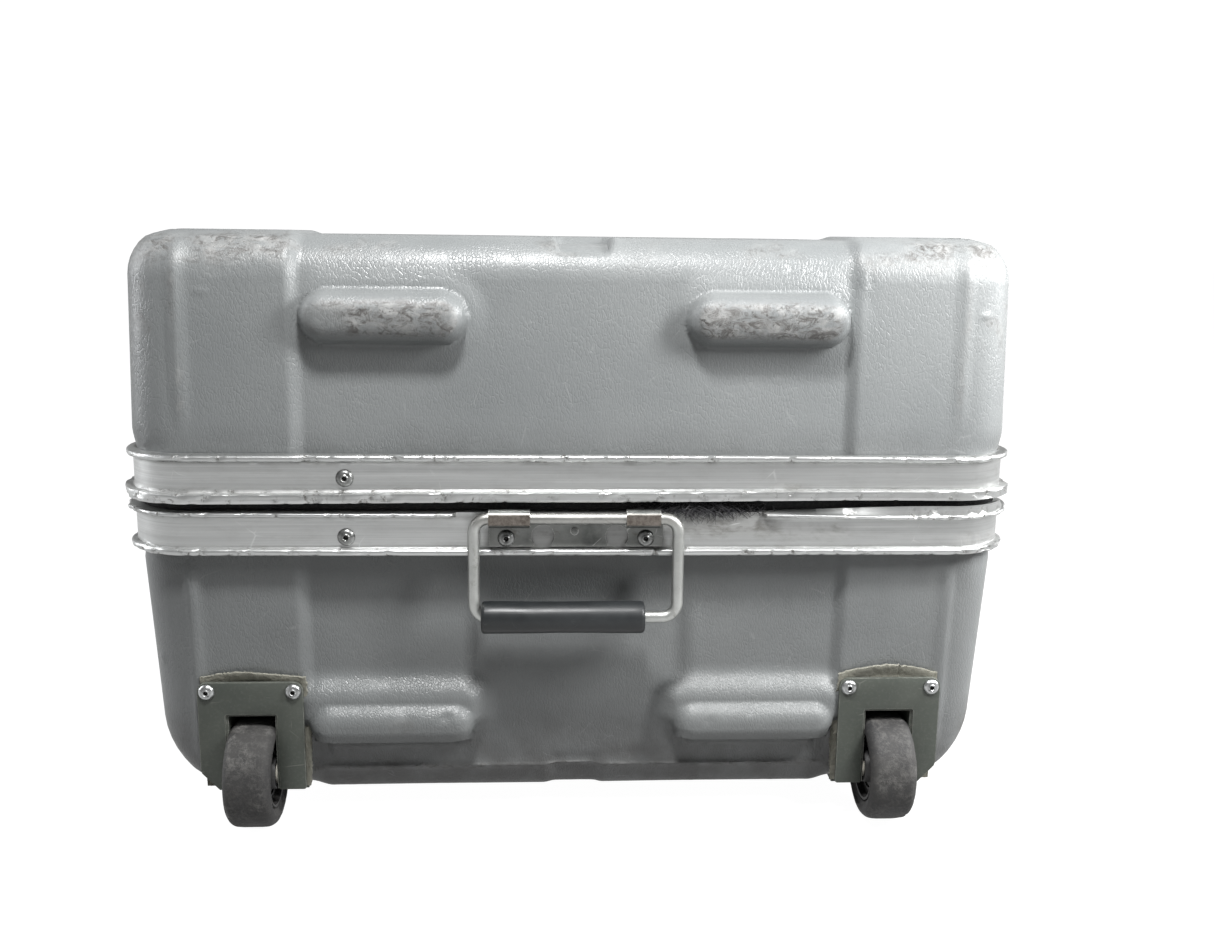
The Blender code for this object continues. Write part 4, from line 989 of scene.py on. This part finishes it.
def build_seal():
    places = stations(0.0030, 0.0060, 10)
    section = [(-0.0036, -0.0012), (-0.0030, 0.0002), (-0.0029, 0.0016), (-0.0032, 0.0032), (-0.0040, 0.0044)]
    section += [(-0.0090, 0.0044), (-0.0095, 0.0016), (-0.0090, -0.0015), (-0.0042, -0.0015)]
    out, height = tiled(section, places)
    sway = noise_at([(a, b, 0) for a, b, _, _ in places], 40.0, 41.0)[:, None]
    mesh = swept(places, out + sway * 0.0007 * (out > -0.0045), height)
    new_object("parting_seal", mesh, "base", "seal_rubber", "seal_gasket", 50)


def build_fibres():
    """Torn lining fibres hanging out of the gap right of the front handle."""
    rng = np.random.default_rng(8)
    count, steps, width = 420, 7, 0.00034
    paths = []
    for _ in range(count):
        x = float(rng.triangular(0.022, 0.072, 0.122))
        spot = np.array([x, -HALF_Y + 0.0030, PARTING + float(rng.uniform(-0.0016, 0.0036))])
        length = float(rng.uniform(0.005, 0.016)) * (1.0 - 0.5 * abs(x - 0.07) / 0.05)
        heading = float(rng.normal(0.0, 1.0))
        turn = float(rng.normal(0, 0.5))
        path = [spot.copy()]
        for step in range(steps):
            forward = 0.9 if step < 3 else 0.1
            rise = -0.30 - 0.5 * step / steps + 0.4 * math.cos(heading)
            move = np.array([math.sin(heading), -forward, rise])
            spot = spot + move / np.linalg.norm(move) * length / steps
            spot[1] = max(spot[1], -HALF_Y - 0.0062)
            path.append(spot.copy())
            heading += turn
        paths.append(path)
    radii = [[width * (1 - 0.75 * i / steps) for i in range(steps + 1)]] * count
    new_object("torn_lining_fibres", tube(paths, radii, 4), "base", "lining_fibre", None, None)


build_seal()
build_fibres()


# Turned pieces


def turned(profile, steps, axis, place, hollow=False):
    """A profile of (radius, height, darkness) turned round an axis: the darkness is stored on the points, and
    darkens hollows as painted shade where a material reads it. Hollow joins the last ring to the first.
    """
    turn = Vector(axis).to_track_quat("Z", "X").to_matrix()
    points, faces, tags, rings = [], [], [], []
    for radius, height, tag in profile:
        count = steps if radius > 0 else 1
        rings.append([len(points) + i % count for i in range(steps)])
        turns = [2 * math.pi * i / steps for i in range(count)]
        flat = [(radius * math.cos(a), radius * math.sin(a), height) for a in turns]
        points += [turn @ Vector(p) + Vector(place) for p in flat]
        tags += [tag] * count
    for low, high in zip(rings, rings[1:] + rings[:1] if hollow else rings[1:]):
        for i in range(steps):
            corners = (low[i], low[(i + 1) % steps], high[(i + 1) % steps], high[i])
            faces.append(tuple(dict.fromkeys(corners)))
    mesh = outward_faces(mesh_from(points, faces))
    set_attribute(mesh, "dirt_and_shade", tags)
    return mesh


def rivet_profile(head, tail):
    """From the hole's floor, over the raised ring and the dome, down the shank to the spread tail."""
    # The third value darkens the hole, the dip inside the dome and the head's edge, as painted shade
    profile = [(0.0, 0.0003, 1.0), (0.0009, 0.0003, 1.0), (0.00115, 0.0006, 1.0), (0.00125, 0.0020, 0.8)]
    profile += [(0.00145, 0.0025, 0.1), (0.0018, 0.0027, 0.0), (0.0022, 0.0025, 0.05), (0.0025, 0.0021, 0.35)]
    profile += [(0.0029, 0.0020, 0.25), (0.0036, 0.0018, 0.0), (0.0043, 0.0013, 0.0), (0.0049, 0.0006, 0.05)]
    profile += [(0.0051, 0.0001, 0.5)]
    profile = [(radius * head / 0.0051, height, tag) for radius, height, tag in profile]
    profile.append((0.00235, 0.0, 0.5))
    if tail > 0:
        end = [(0.00235, -tail), (0.0036, -tail), (0.0034, -tail - 0.0012), (0.0, -tail - 0.0016)]
    else:
        end = [(0.00235, -0.0008), (0.0, -0.0008)]
    return profile + [(radius, height, 0.2) for radius, height in end]


def build_rivet(name, node, body, end, material, head):
    """A detailed pop rivet in place of the CAD's, with its head flange where the CAD has it."""
    low, high = span(node)
    flange, tail = 0.0023, 0.0017
    place = (low + high) / 2
    place[1] = (high if end > 0 else low)[1] - end * flange
    mesh = turned(rivet_profile(head, high[1] - low[1] - flange - tail), 28, (0, end, 0), place)
    new_object(name, mesh, body, material, node, 55)


def build_rivets():
    for prefix, end in (("front", -1), ("rear", 1)):
        for side in ("left", "right"):
            node = f"{prefix}_handle_rivet_{side}"
            build_rivet(f"{prefix}_handle_pop_{side}", node, "base", end, "dull_rivet", 0.0051)
        for body in ("base", "lid"):
            node = f"{prefix}_stay_rivet_{body}"
            build_rivet(f"{prefix}_stay_pop_{body}", node, body, end, "dull_rivet", 0.0052)
    for side in ("left", "right"):
        for label in ("inner", "outer"):
            node = f"{side}_bracket_rivet_{label}"
            build_rivet(f"{side}_bracket_pop_{label}", node, "base", -1, "rivet_aluminium", 0.0049)


def build_fixings():
    """The small plain rivets of the hinges and latches, one piece for each body."""
    profile = [(radius * 0.6, height * 0.6, tag) for radius, height, tag in rivet_profile(0.0051, 0.0)]
    reach = HALF_X + LEAF_GAP + 0.0016
    for name, body, side, middle, offsets, up in (
        ("hinge_fixings_base", "base", -1, HINGE_Y, (-0.0220, 0.0, 0.0220), -0.0145),
        ("hinge_fixings_lid", "lid", -1, HINGE_Y, (-0.0220, 0.0, 0.0220), 0.0175),
        ("latch_fixings_base", "base", 1, LATCH_Y, (-0.0190, 0.0190), -0.0180),
        ("latch_fixings_lid", "lid", 1, LATCH_Y, (-0.0095, 0.0095), 0.0125),
    ):
        places = [(side * reach, sign * middle + dy, PARTING + up) for sign in (-1, 1) for dy in offsets]
        mesh = joined([turned(profile, 18, (side, 0, 0), place) for place in places])
        new_object(name, mesh, body, "dull_rivet", None, 55)


build_rivets()
build_fixings()


# Pull handles


def moved(mesh, x, y, z):
    mesh.transform(Matrix.Translation((x, y, z)))
    return mesh


def flat_plate(outline, thickness, edge):
    """Mesh of a flat outline in x and z, with softened edges, its middle at y 0."""
    curve = bpy.data.curves.new("outline", "CURVE")
    curve.dimensions = "2D"
    spline = curve.splines.new("POLY")
    spline.points.add(len(outline) - 1)
    for target, (x, z) in zip(spline.points, outline):
        target.co = (x, z, 0.0, 1.0)
    spline.use_cyclic_u = True
    curve.fill_mode = "BOTH"
    curve.extrude = thickness / 2 - edge
    curve.bevel_depth = edge
    curve.bevel_resolution = 1
    curve.offset = -edge
    obj = linked("outline", curve)
    bpy.context.view_layer.update()
    graph = bpy.context.evaluated_depsgraph_get()
    mesh = bpy.data.meshes.new_from_object(obj.evaluated_get(graph))
    bpy.data.objects.remove(obj)
    mesh.transform(Matrix.Rotation(math.pi / 2, 4, "X"))
    with edited(mesh) as bm:
        bmesh.ops.remove_doubles(bm, verts=bm.verts, dist=1e-6)
        bmesh.ops.recalc_face_normals(bm, faces=bm.faces)
    return mesh


def arc_points(cx, cz, radius, start, stop, steps):
    angles = [math.radians(start + (stop - start) * i / steps) for i in range(steps + 1)]
    return [(cx + radius * math.cos(a), cz + radius * math.sin(a)) for a in angles]


def extruded(section, stops):
    """A closed section of (y, z) points carried along x through the stops, capped at both ends."""
    count = len(section)
    points = [(x, y, z) for x in stops for y, z in section]
    faces = []
    for a in range(0, len(points) - count, count):
        pairs = [(j, (j + 1) % count) for j in range(count)]
        faces += [(a + j, a + k, a + count + k, a + count + j) for j, k in pairs]
    faces.append(tuple(range(count)))
    faces.append(tuple(range(len(points) - count, len(points)))[::-1])
    return outward_faces(mesh_from(points, faces))


PIN_OUT, PIN_UP = 0.0077, -0.0040  # the bail's pivot, outward from the flats and from the parting plane
KNUCKLES = ((-0.0510, -0.0270), (0.0290, 0.0490))
BAIL_DROP = 0.0595


def knuckle_mesh(low, high):
    """Sheet rolled over the bail's wire, flattened where it has rubbed in front."""
    outer = arc_points(PIN_OUT, PIN_UP, 0.0054, 180, -78, 22)
    outer = [(min(out, PIN_OUT + 0.0046), up) for out, up in outer]
    inner = arc_points(PIN_OUT, PIN_UP, 0.0040, -78, 180, 18)
    section = [(0.0004, -0.0098), (0.0005, -0.0076), (0.0013, -0.0062)] + outer + inner
    section += [(0.0032, -0.0066), (0.0020, -0.0082), (0.0019, -0.0098)]
    stops = [low, low + 0.0003, *np.linspace(low + 0.0015, high - 0.0015, 9), high - 0.0003, high]
    return extruded([(-HALF_Y - out, PARTING + up) for out, up in section], stops)


def handle_plate_mesh():
    """The bracket's plate, open below into two keyholes."""
    half, low, high, corner = 0.0510, -0.0220, -0.0072, 0.0012
    notch, mouth, level = 0.0067, 0.0052, -0.0158
    outline = []
    below, above = low + corner, high - corner
    for sx, z, start in ((1, below, -90), (1, above, 0), (-1, above, 90), (-1, below, 180)):
        outline += arc_points(sx * (half - corner), z, corner, start, start + 90, 3)
    start = math.degrees(math.atan2(-math.sqrt(notch**2 - mouth**2), mouth))
    for cx in (-0.0195, 0.0240):
        round_top = arc_points(cx, level, notch, 180 - start, start, 26)
        outline += [(cx - mouth, low), *round_top, (cx + mouth, low)]
    return moved(flat_plate(outline, 0.0016, 0.00025), 0, -HALF_Y - 0.0011, PARTING)


def build_bracket(prefix, turn):
    tab = flat_plate(arc_points(-0.0010, -0.0128, 0.0022, 0, 330, 12), 0.0012, 0.0002)
    tab = moved(tab, 0, -HALF_Y - 0.0023, PARTING)
    mesh = joined([handle_plate_mesh(), tab] + [knuckle_mesh(low, high) for low, high in KNUCKLES])
    x, y, z = coordinates(mesh).T
    forward = smooth(-HALF_Y - PIN_OUT - 0.0036, -HALF_Y - PIN_OUT - 0.0046, y)
    set_attribute(mesh, "wear_and_highlight", forward * near(z - PARTING, -0.0068, -0.0008, 0.0006))
    mesh.transform(turn)
    replaced = f"{prefix}_handle_bracket"
    new_object(f"{prefix}_pull_bracket", mesh, "base", "stained_zinc", replaced, 35)


def build_bail(prefix, turn):
    half, bend = 0.05975, 0.0085
    path = []
    for start, sx, sz in ((-90, 1, -1), (0, 1, 1), (90, -1, 1), (180, -1, -1)):
        cx, cz = sx * (half - bend), PARTING + PIN_UP - BAIL_DROP / 2 + sz * (BAIL_DROP / 2 - bend)
        path += arc_points(cx, cz, bend, start, start + 90, 12)
    full = []
    for a, b in zip(path, path[1:] + path[:1]):
        parts = max(1, round(math.dist(a, b) / 0.003))
        shares = [i / parts for i in range(parts)]
        full += [(a[0] + (b[0] - a[0]) * t, -HALF_Y - PIN_OUT, a[1] + (b[1] - a[1]) * t) for t in shares]
    radii = [0.00352 + 0.00006 * w for w in noise_at(full, 60.0, 61.0)]
    mesh = outward_faces(tube([full], [radii], 18, closed=True))
    up = coordinates(mesh)[:, 2] - PARTING - PIN_UP
    set_attribute(mesh, "wear_and_highlight", smooth(-0.006, -0.001, up) * 0.35)
    mesh.transform(turn)
    replaced = f"{prefix}_handle_bail"
    new_object(f"{prefix}_pull_bail", mesh, f"{prefix}_handle", "zinc_wire", replaced, 60)


def build_grip(prefix, turn, shift):
    """A tube with a slightly waisted middle, its bore closed by the last point of the profile."""
    half, bore, edge = 0.0480, 0.0056, 0.0022
    end = [(bore, half, 1.0), (0.0072, half + 0.0001, 0.6), (0.0086, half - 0.0002, 0.2)]
    end += [(0.0094, half - 0.0010, 0.0), (0.0096, half - edge, 0.0)]
    profile = list(end)
    for t in (i / 24 for i in range(1, 24)):
        profile.append((0.00945 + 0.0002 * math.cos(2 * math.pi * t), (half - edge) * (1 - 2 * t), 0.0))
    profile += [(radius, -height, tag) for radius, height, tag in end[::-1]] + [(bore, 0.0, 1.0)]
    place = (shift, -HALF_Y - PIN_OUT, PARTING + PIN_UP - BAIL_DROP)
    mesh = turned(profile, 40, (1, 0, 0), place, hollow=True)
    puff(mesh, noise_at(coordinates(mesh), 70.0, 71.0) * 0.00016)
    mesh.transform(turn)
    replaced = f"{prefix}_handle_grip"
    new_object(f"{prefix}_pull_grip", mesh, f"{prefix}_grip", "grip_plastic", replaced, 50)


for prefix, end in (("front", -1), ("rear", 1)):
    turn = Matrix.Rotation(0 if end < 0 else math.pi, 4, "Z")
    build_bracket(prefix, turn)
    build_bail(prefix, turn)
    build_grip(prefix, turn, -end * centre(f"{prefix}_handle_grip")[0])


# Wheels and their housings


def housing_plate(x, side):
    half, corner, cham, small = HOUSING_HALF, 0.0058, 0.0108, 0.0015
    foot, top = PLATE_FOOT, HOUSING_TOP
    outline = [(WELL_HALF, foot), (half - cham, foot)]
    outline += [(half - 0.0006, foot + cham), (half, foot + cham + 0.002)]
    outline += arc_points(half - corner, top - corner, corner, 0, 90, 7)
    outline += arc_points(-half + corner, top - corner, corner, 90, 180, 7)
    outline += arc_points(-half + small, foot + small, small, 180, 270, 3)
    outline += [(-WELL_HALF, foot), (-WELL_HALF + 0.0002, SLOT_TOP - 0.0010), (-WELL_HALF + 0.0010, SLOT_TOP)]
    outline += [(WELL_HALF - 0.0010, SLOT_TOP), (WELL_HALF - 0.0002, SLOT_TOP - 0.0010)]
    if side < 0:
        outline = [(-px, pz) for px, pz in outline][::-1]
    return moved(flat_plate(outline, 0.0023, 0.00035), x, HOUSING_FRONT + 0.00115, 0)


def housing_cup(x, heel):
    """The folded sheet round the wheel: two cheeks, a back and a top."""
    front, back, bend = HOUSING_FRONT + 0.0018, HOUSING_BACK - CUP_WALL, 0.003
    half = [(-WELL_HALF, front), (-WELL_HALF, heel), (-WELL_HALF, back - bend), (-WELL_HALF + bend, back)]
    points = half + [(-px, py) for px, py in half[::-1]]
    bm = bmesh.new()
    rows = [[bm.verts.new((x + px, py, PLATE_FOOT if py < heel else HOUSING_FOOT)) for px, py in points]]
    for z in (PLATE_FOOT + 0.02, SLOT_TOP - 0.002, SLOT_TOP):
        rows.append([bm.verts.new((x + px, py, z)) for px, py in points])
    for low, high in zip(rows, rows[1:]):
        for i in range(len(points) - 1):
            bm.faces.new((low[i], low[i + 1], high[i + 1], high[i]))
    bm.faces.new(rows[-1])
    bmesh.ops.recalc_face_normals(bm, faces=bm.faces)
    middle = Vector((x, (front + back) / 2, 0.0))
    inside = sum(f.normal.dot(middle - f.calc_center_median()) for f in bm.faces)
    bmesh.ops.solidify(bm, geom=bm.faces[:], thickness=-CUP_WALL if inside > 0 else CUP_WALL)
    bmesh.ops.recalc_face_normals(bm, faces=bm.faces)
    return mesh_of(bm)


def housing_sole(x, side, way, heel):
    """A flange turned out along the bottom, beside the wheel."""
    inner, outer, back = way * (WELL_HALF + CUP_WALL), way * HOUSING_HALF, HOUSING_BACK - 0.0075 - heel
    cut_off = 0.0108 if way == side else 0.0015
    shape = [(inner, 0.0), (outer - way * cut_off, 0.0), (outer - way * cut_off * 0.98, back - 0.004)]
    shape += [(outer - way * (cut_off + 0.003), back), (inner, back)]
    sole = flat_plate(shape[::way], 0.0023, 0.0003)
    sole.transform(Matrix.Scale(-1, 4, (0, 1, 0)) @ Matrix.Rotation(math.pi / 2, 4, "X"))
    low = coordinates(sole).min(axis=0)
    return outward_faces(moved(sole, x, heel - low[1], HOUSING_FOOT - low[2]))


def build_housing(prefix, side):
    x, heel = WHEEL[prefix][0], HOUSING_FRONT + SOLE_SET_BACK
    soles = [housing_sole(x, side, way, heel) for way in (-1, 1)]
    mesh = joined([housing_plate(x, side), housing_cup(x, heel), *soles])
    replaced = f"{prefix}_wheel_bracket"
    new_object(f"{prefix}_housing", mesh, "base", "housing_paint", replaced, 35)


PAD_COLUMNS, PAD_ROWS, PAD_THICK = 60, 72, 0.0022


def pad_grid(x, side, rng):
    """Places of the pad's points, which bows out over the top and along the inner edge."""
    bottom = -0.0015
    ragged_top, ragged_side = rng.normal(0, 0.00022, PAD_COLUMNS + 1), rng.normal(0, 0.00025, PAD_ROWS + 1)
    rise, skew = (0.0034, 1.5) if side < 0 else (0.0056, 1.1)
    grid = {}
    for i in range(PAD_COLUMNS + 1):
        for j in range(PAD_ROWS + 1):
            u, v = i / PAD_COLUMNS, j / PAD_ROWS
            reach = HOUSING_HALF + 0.0016 + 0.0014 * math.sin(math.pi * min(v * 1.15, 1.0)) + ragged_side[j]
            if side > 0:
                reach += 0.0052 * ridge(v, 0.80, 0.035) - 0.0012 * smooth(0.7, 0.9, v)
            arch = ragged_top[i] + rise * math.sin(math.pi * min(u / 0.97, 1.0) ** skew)
            across = side * ((reach + HOUSING_HALF - 0.0012) * u - reach)
            height = bottom + (HOUSING_TOP + 0.0022 + arch - bottom) * v
            lift = 0.0022 * smooth(0.90, 1.0, v) * math.sin(math.pi * u) + 0.0014 * (1 - smooth(0.0, 0.12, u))
            wall = -HALF_Y + BASE_INSET + BASE_DRAFT * (BASE_RIM - height)
            grid[i, j] = (x + across, wall - 0.0003 - lift, height)
    return grid


def pad_mesh(x, grid, rng):
    """Both faces and the edges of the pad, with an opening for the wheel."""
    room = WELL_HALF + CUP_WALL + WELL_ROOM
    cells = [(i, j) for i in range(PAD_COLUMNS) for j in range(PAD_ROWS)]
    keep = {cell for cell in cells if abs(grid[cell][0] - x) >= room or grid[cell][2] >= SLOT_TOP + 0.004}
    fuzz = rng.normal(0, 0.00012, (PAD_COLUMNS + 1, PAD_ROWS + 1))
    bm = bmesh.new()
    made = {}

    def vert(place, front):
        if (place, front) not in made:
            px, py, pz = grid[place]
            made[place, front] = bm.verts.new((px, py - front * PAD_THICK + fuzz[place], pz))
        return made[place, front]

    for i, j in keep:
        ring = ((i, j), (i + 1, j), (i + 1, j + 1), (i, j + 1))
        bm.faces.new([vert(a, 1) for a in ring])
        bm.faces.new([vert(a, 0) for a in ring][::-1])
        beyond = ((i, j - 1), (i + 1, j), (i, j + 1), (i - 1, j))
        for a, b, neighbour in zip(ring, ring[1:] + ring[:1], beyond):
            if neighbour not in keep:
                bm.faces.new((vert(a, 0), vert(b, 0), vert(b, 1), vert(a, 1)))
    bmesh.ops.recalc_face_normals(bm, faces=bm.faces)
    return mesh_of(bm)


def pad_fray(side, grid, rng):
    """Loose fibres along the pad's top and inner edge."""
    paths = []
    for _ in range(60):
        if rng.random() < 0.6:
            i, j = int(rng.integers(2, PAD_COLUMNS)), PAD_ROWS
        else:
            i, j = 0, int(rng.integers(PAD_ROWS // 3, PAD_ROWS))
        start = np.array(grid[i, j]) + (0, -PAD_THICK * rng.random(), 0)
        across = rng.normal(0, 1.0) - side * (0.9 if i == 0 else 0.0)
        way = np.array([across, -0.3, abs(rng.normal(0.4, 0.5))])
        way /= np.linalg.norm(way)
        bend = rng.normal(0, 0.35, 3)
        length = float(rng.uniform(0.0006, 0.0018)) * (1.3 if i < 5 else 1.0)
        paths.append([start + way * length * t + bend * length * t * t for t in (0.0, 0.35, 0.7, 1.0)])
    return tube(paths, [[0.00013, 0.00012, 0.0001, 0.00005]] * len(paths), 4)


def build_pad(prefix, side):
    """Fibre pad between the housing and the shell."""
    x = WHEEL[prefix][0]
    rng = np.random.default_rng(91 if side < 0 else 92)
    grid = pad_grid(x, side, rng)
    pad, fray = pad_mesh(x, grid, rng), pad_fray(side, grid, rng)
    new_object(f"{prefix}_fibre_pad", pad, "base", "pad_fibre", f"{prefix}_bracket_pad", 50)
    new_object(f"{prefix}_pad_fray", fray, "base", "pad_fibre", None, None)


HALF_TREAD = 0.01425


def tyre_mesh(place, side):
    profile = [(0.0219, 0.0118, 0.6), (0.0226, 0.0124, 0.3), (0.0238, 0.0126, 0.1), (0.0242, 0.0130, 0.1)]
    profile += [(0.0252, 0.0132, 0.0), (0.0256, 0.0138, 0.3)]
    profile += [(0.0262, 0.0141, 0.1), (0.0272, HALF_TREAD, 0.0)]
    for a in (math.radians(90 - 78 * i / 8) for i in range(9)):
        profile.append((0.0268 + 0.0058 * math.cos(a), HALF_TREAD - 0.0062 * (1 - math.sin(a)), 0.0))
    profile += [(0.03262, 0.0078, 0.0), (0.03278, 0.0055, 0.0), (0.0328, 0.0030, 0.0), (0.0328, 0.0010, 0.0)]
    mesh = wheel_part(profile, 112, place)
    local = coordinates(mesh) - place
    radial = np.hypot(local[:, 1], local[:, 2])
    coarse, fine = noise_at(local, 60.0, 81.0 if side < 0 else 85.0), noise_at(local, 330.0, 82.0)
    shoulder = near(radial, 0.0300, 0.0322, 0.0010)
    chipped = smooth(0.15, 0.5, coarse * 0.6 + fine * 0.5) * shoulder
    puff(mesh, fine * 0.00010 + coarse * 0.00012 - chipped * 0.00055)
    wear_and_highlight = 0.35 * smooth(0.0312, 0.0326, radial) + 0.8 * shoulder * smooth(-0.2, 0.4, coarse) + chipped
    set_attribute(mesh, "wear_and_highlight", np.clip(wear_and_highlight, 0, 1))
    return mesh


def wheel_part(profile, steps, place, hollow=True):
    """Turned from the inner edge on one side, over the tread, to the other side, which mirrors the first."""
    both = profile + [(radius, -height, tag) for radius, height, tag in profile[::-1]]
    return turned(both, steps, (1, 0, 0), place, hollow)


HUB = [(0.0071, 0.0128, 0.3), (0.0096, 0.0128, 0.1), (0.0101, 0.0122, 0.1), (0.0104, 0.0088, 0.7)]
HUB += [(0.0108, 0.0082, 0.8), (0.0135, 0.0080, 0.6), (0.0139, 0.0090, 0.2), (0.0147, 0.0091, 0.2)]
HUB += [(0.0151, 0.0080, 0.7), (0.0176, 0.0079, 0.7), (0.0186, 0.0086, 0.4), (0.0194, 0.0115, 0.1)]
HUB += [(0.0198, 0.0124, 0.0), (0.0211, 0.0126, 0.0), (0.0215, 0.0120, 0.2)]
BUSH = [(0.0041, 0.0138, 0.5), (0.0046, HALF_TREAD, 0.1), (0.0062, HALF_TREAD, 0.0), (0.0067, 0.0138, 0.2)]
BUSH += [(0.0068, 0.0100, 0.4)]
AXLE_REACH = WELL_HALF + CUP_WALL + 0.0003
AXLE = [(0.0, AXLE_REACH + 0.0016, 0.2), (0.0030, AXLE_REACH + 0.0015, 0.1)]
AXLE += [(0.0044, AXLE_REACH + 0.0011, 0.1)]
AXLE += [(0.0050, AXLE_REACH + 0.0003, 0.1), (0.0050, AXLE_REACH, 0.3), (0.0038, AXLE_REACH, 0.5)]
AXLE += [(0.0038, AXLE_REACH * 0.5, 0.4)]


def build_wheel(prefix, side):
    place, body = WHEEL[prefix], f"{prefix}_wheel"
    tyre, hub, bush = tyre_mesh(place, side), wheel_part(HUB, 72, place), wheel_part(BUSH, 40, place)
    axle = wheel_part(AXLE, 36, place, hollow=False)
    new_object(f"{prefix}_tyre", tyre, body, "tyre_rubber", f"{prefix}_wheel_tyre", 50)
    new_object(f"{prefix}_hub", hub, body, "hub_plastic", f"{prefix}_wheel_hub", 35)
    new_object(f"{prefix}_bush", bush, body, "bush_nylon", f"{prefix}_wheel_bush", 35)
    new_object(f"{prefix}_axle_pin", axle, "base", "zinc_steel", f"{prefix}_axle", 35)


for prefix, side in (("left", -1), ("right", 1)):
    build_housing(prefix, side)
    build_pad(prefix, side)
    build_wheel(prefix, side)


# Hinges, latches and stays keep their CAD shape, with welded and softened edges


def finish_hardware():
    for name, obj in NODES.items():
        if obj.hide_render:
            continue
        look = "stay_steel" if "stay" in name and "pin" not in name else "zinc_steel"
        obj.data.materials.clear()
        obj.data.materials.append(MATERIALS[look])
        obj.modifiers.new("Weld", "WELD").merge_threshold = 0.00001
        bevel = obj.modifiers.new("Bevel", "BEVEL")
        bevel.width = 0.00028
        bevel.segments = 2
        bevel.limit_method = "ANGLE"
        bevel.angle_limit = math.radians(35)


finish_hardware()


# Floor, light and camera

FLOOR_LEVEL = 0.98  # how bright the floor looks to the camera
FLOOR_IN_METAL = 0.60  # and in reflections
WORLD_LIGHT, WORLD_IN_METAL, WORLD_LEVEL = 0.07, 0.30, 1.05


def camera():
    data = bpy.data.cameras.new("camera")
    data.lens = 35.99
    data.sensor_width = 36.0
    data.clip_start = 0.01
    obj = linked("camera", data)
    yaw, pitch, roll = math.radians(3.18), math.radians(11.02), math.radians(0.72)
    turn = Matrix.Rotation(-yaw, 4, "Z") @ Matrix.Rotation(math.pi / 2 - pitch, 4, "X")
    turn = turn @ Matrix.Rotation(roll, 4, "Z")
    obj.matrix_world = Matrix.Translation((-0.0208, -0.9995, 0.3333)) @ turn
    bpy.context.scene.camera = obj


def area_light(name, place, target, size, power, colour=(1.0, 1.0, 1.0)):
    data = bpy.data.lights.new(name, "AREA")
    data.shape = "RECTANGLE"
    data.size, data.size_y = size
    data.energy = power
    data.color = colour
    obj = linked(name, data)
    obj.location = place
    obj.rotation_euler = (Vector(target) - Vector(place)).to_track_quat("-Z", "Y").to_euler()


def build_floor():
    """A plain floor under the front wheels and the rear edge of the bottom."""
    g = Graph("floor_finish")
    colour = g.shades(g.noise(3.0), 0.3, 0.7, (0.16, 0.16, 0.16), (0.19, 0.19, 0.19))
    path = g.add("ShaderNodeLightPath").outputs
    glow = g.times(path["Is Camera Ray"], FLOOR_LEVEL)
    glow = g.plus(glow, g.times(path["Is Glossy Ray"], FLOOR_IN_METAL))
    g.finish(colour, 0.9, Emission_Color=(1.0, 1.0, 1.0), Emission_Strength=glow)
    bm = bmesh.new()
    bmesh.ops.create_grid(bm, x_segments=2, y_segments=2, size=6.0)
    mesh = mesh_of(bm)
    mesh.materials.append(g.material)
    floor = linked("floor", mesh)
    wheel_y, low_front = WHEEL["left"][1], WHEEL["left"][2] - WHEEL_RADIUS
    slope = math.atan2(-ZONE_RISE - low_front, HALF_Y - 0.02 - wheel_y)
    floor.matrix_world = Matrix.Translation((0, wheel_y, low_front - 0.0002)) @ Matrix.Rotation(slope, 4, "X")


def light_world():
    """Plain white to the camera, dimmer in reflections, and a weak fill light."""
    world = bpy.data.worlds.new("studio")
    bpy.context.scene.world = world
    world.use_nodes = True
    nodes, links = world.node_tree.nodes, world.node_tree.links
    background = nodes["Background"]
    background.inputs["Color"].default_value = (1.0, 1.0, 1.0, 1.0)
    path = nodes.new("ShaderNodeLightPath")
    in_metal, level = nodes.new("ShaderNodeMapRange"), nodes.new("ShaderNodeMapRange")
    in_metal.inputs["To Min"].default_value = WORLD_LIGHT
    in_metal.inputs["To Max"].default_value = WORLD_IN_METAL
    level.inputs["To Max"].default_value = WORLD_LEVEL
    links.new(path.outputs["Is Glossy Ray"], in_metal.inputs["Value"])
    links.new(in_metal.outputs["Result"], level.inputs["To Min"])
    links.new(path.outputs["Is Camera Ray"], level.inputs["Value"])
    links.new(level.outputs["Result"], background.inputs["Strength"])


camera()
build_floor()
light_world()
bpy.context.scene.view_settings.view_transform = "Standard"
area_light("top", (-0.05, -0.64, 0.88), (0.0, -0.30, 0.20), (0.12, 0.10), 6.8)
area_light("right", (0.44, -0.54, 0.50), (0.19, -0.30, 0.22), (0.12, 0.22), 3.4)
area_light("right_rim", (1.10, -0.22, 0.62), (0.25, -0.28, 0.25), (0.30, 0.50), 12.0)
area_light("left_rim", (-1.35, -0.08, 0.60), (-0.2, -0.2, 0.2), (0.4, 0.9), 9.0, (0.97, 0.98, 1.0))
area_light("back", (0.2, 1.6, 1.4), (0.0, 0.2, 0.1), (1.6, 1.0), 2.5)
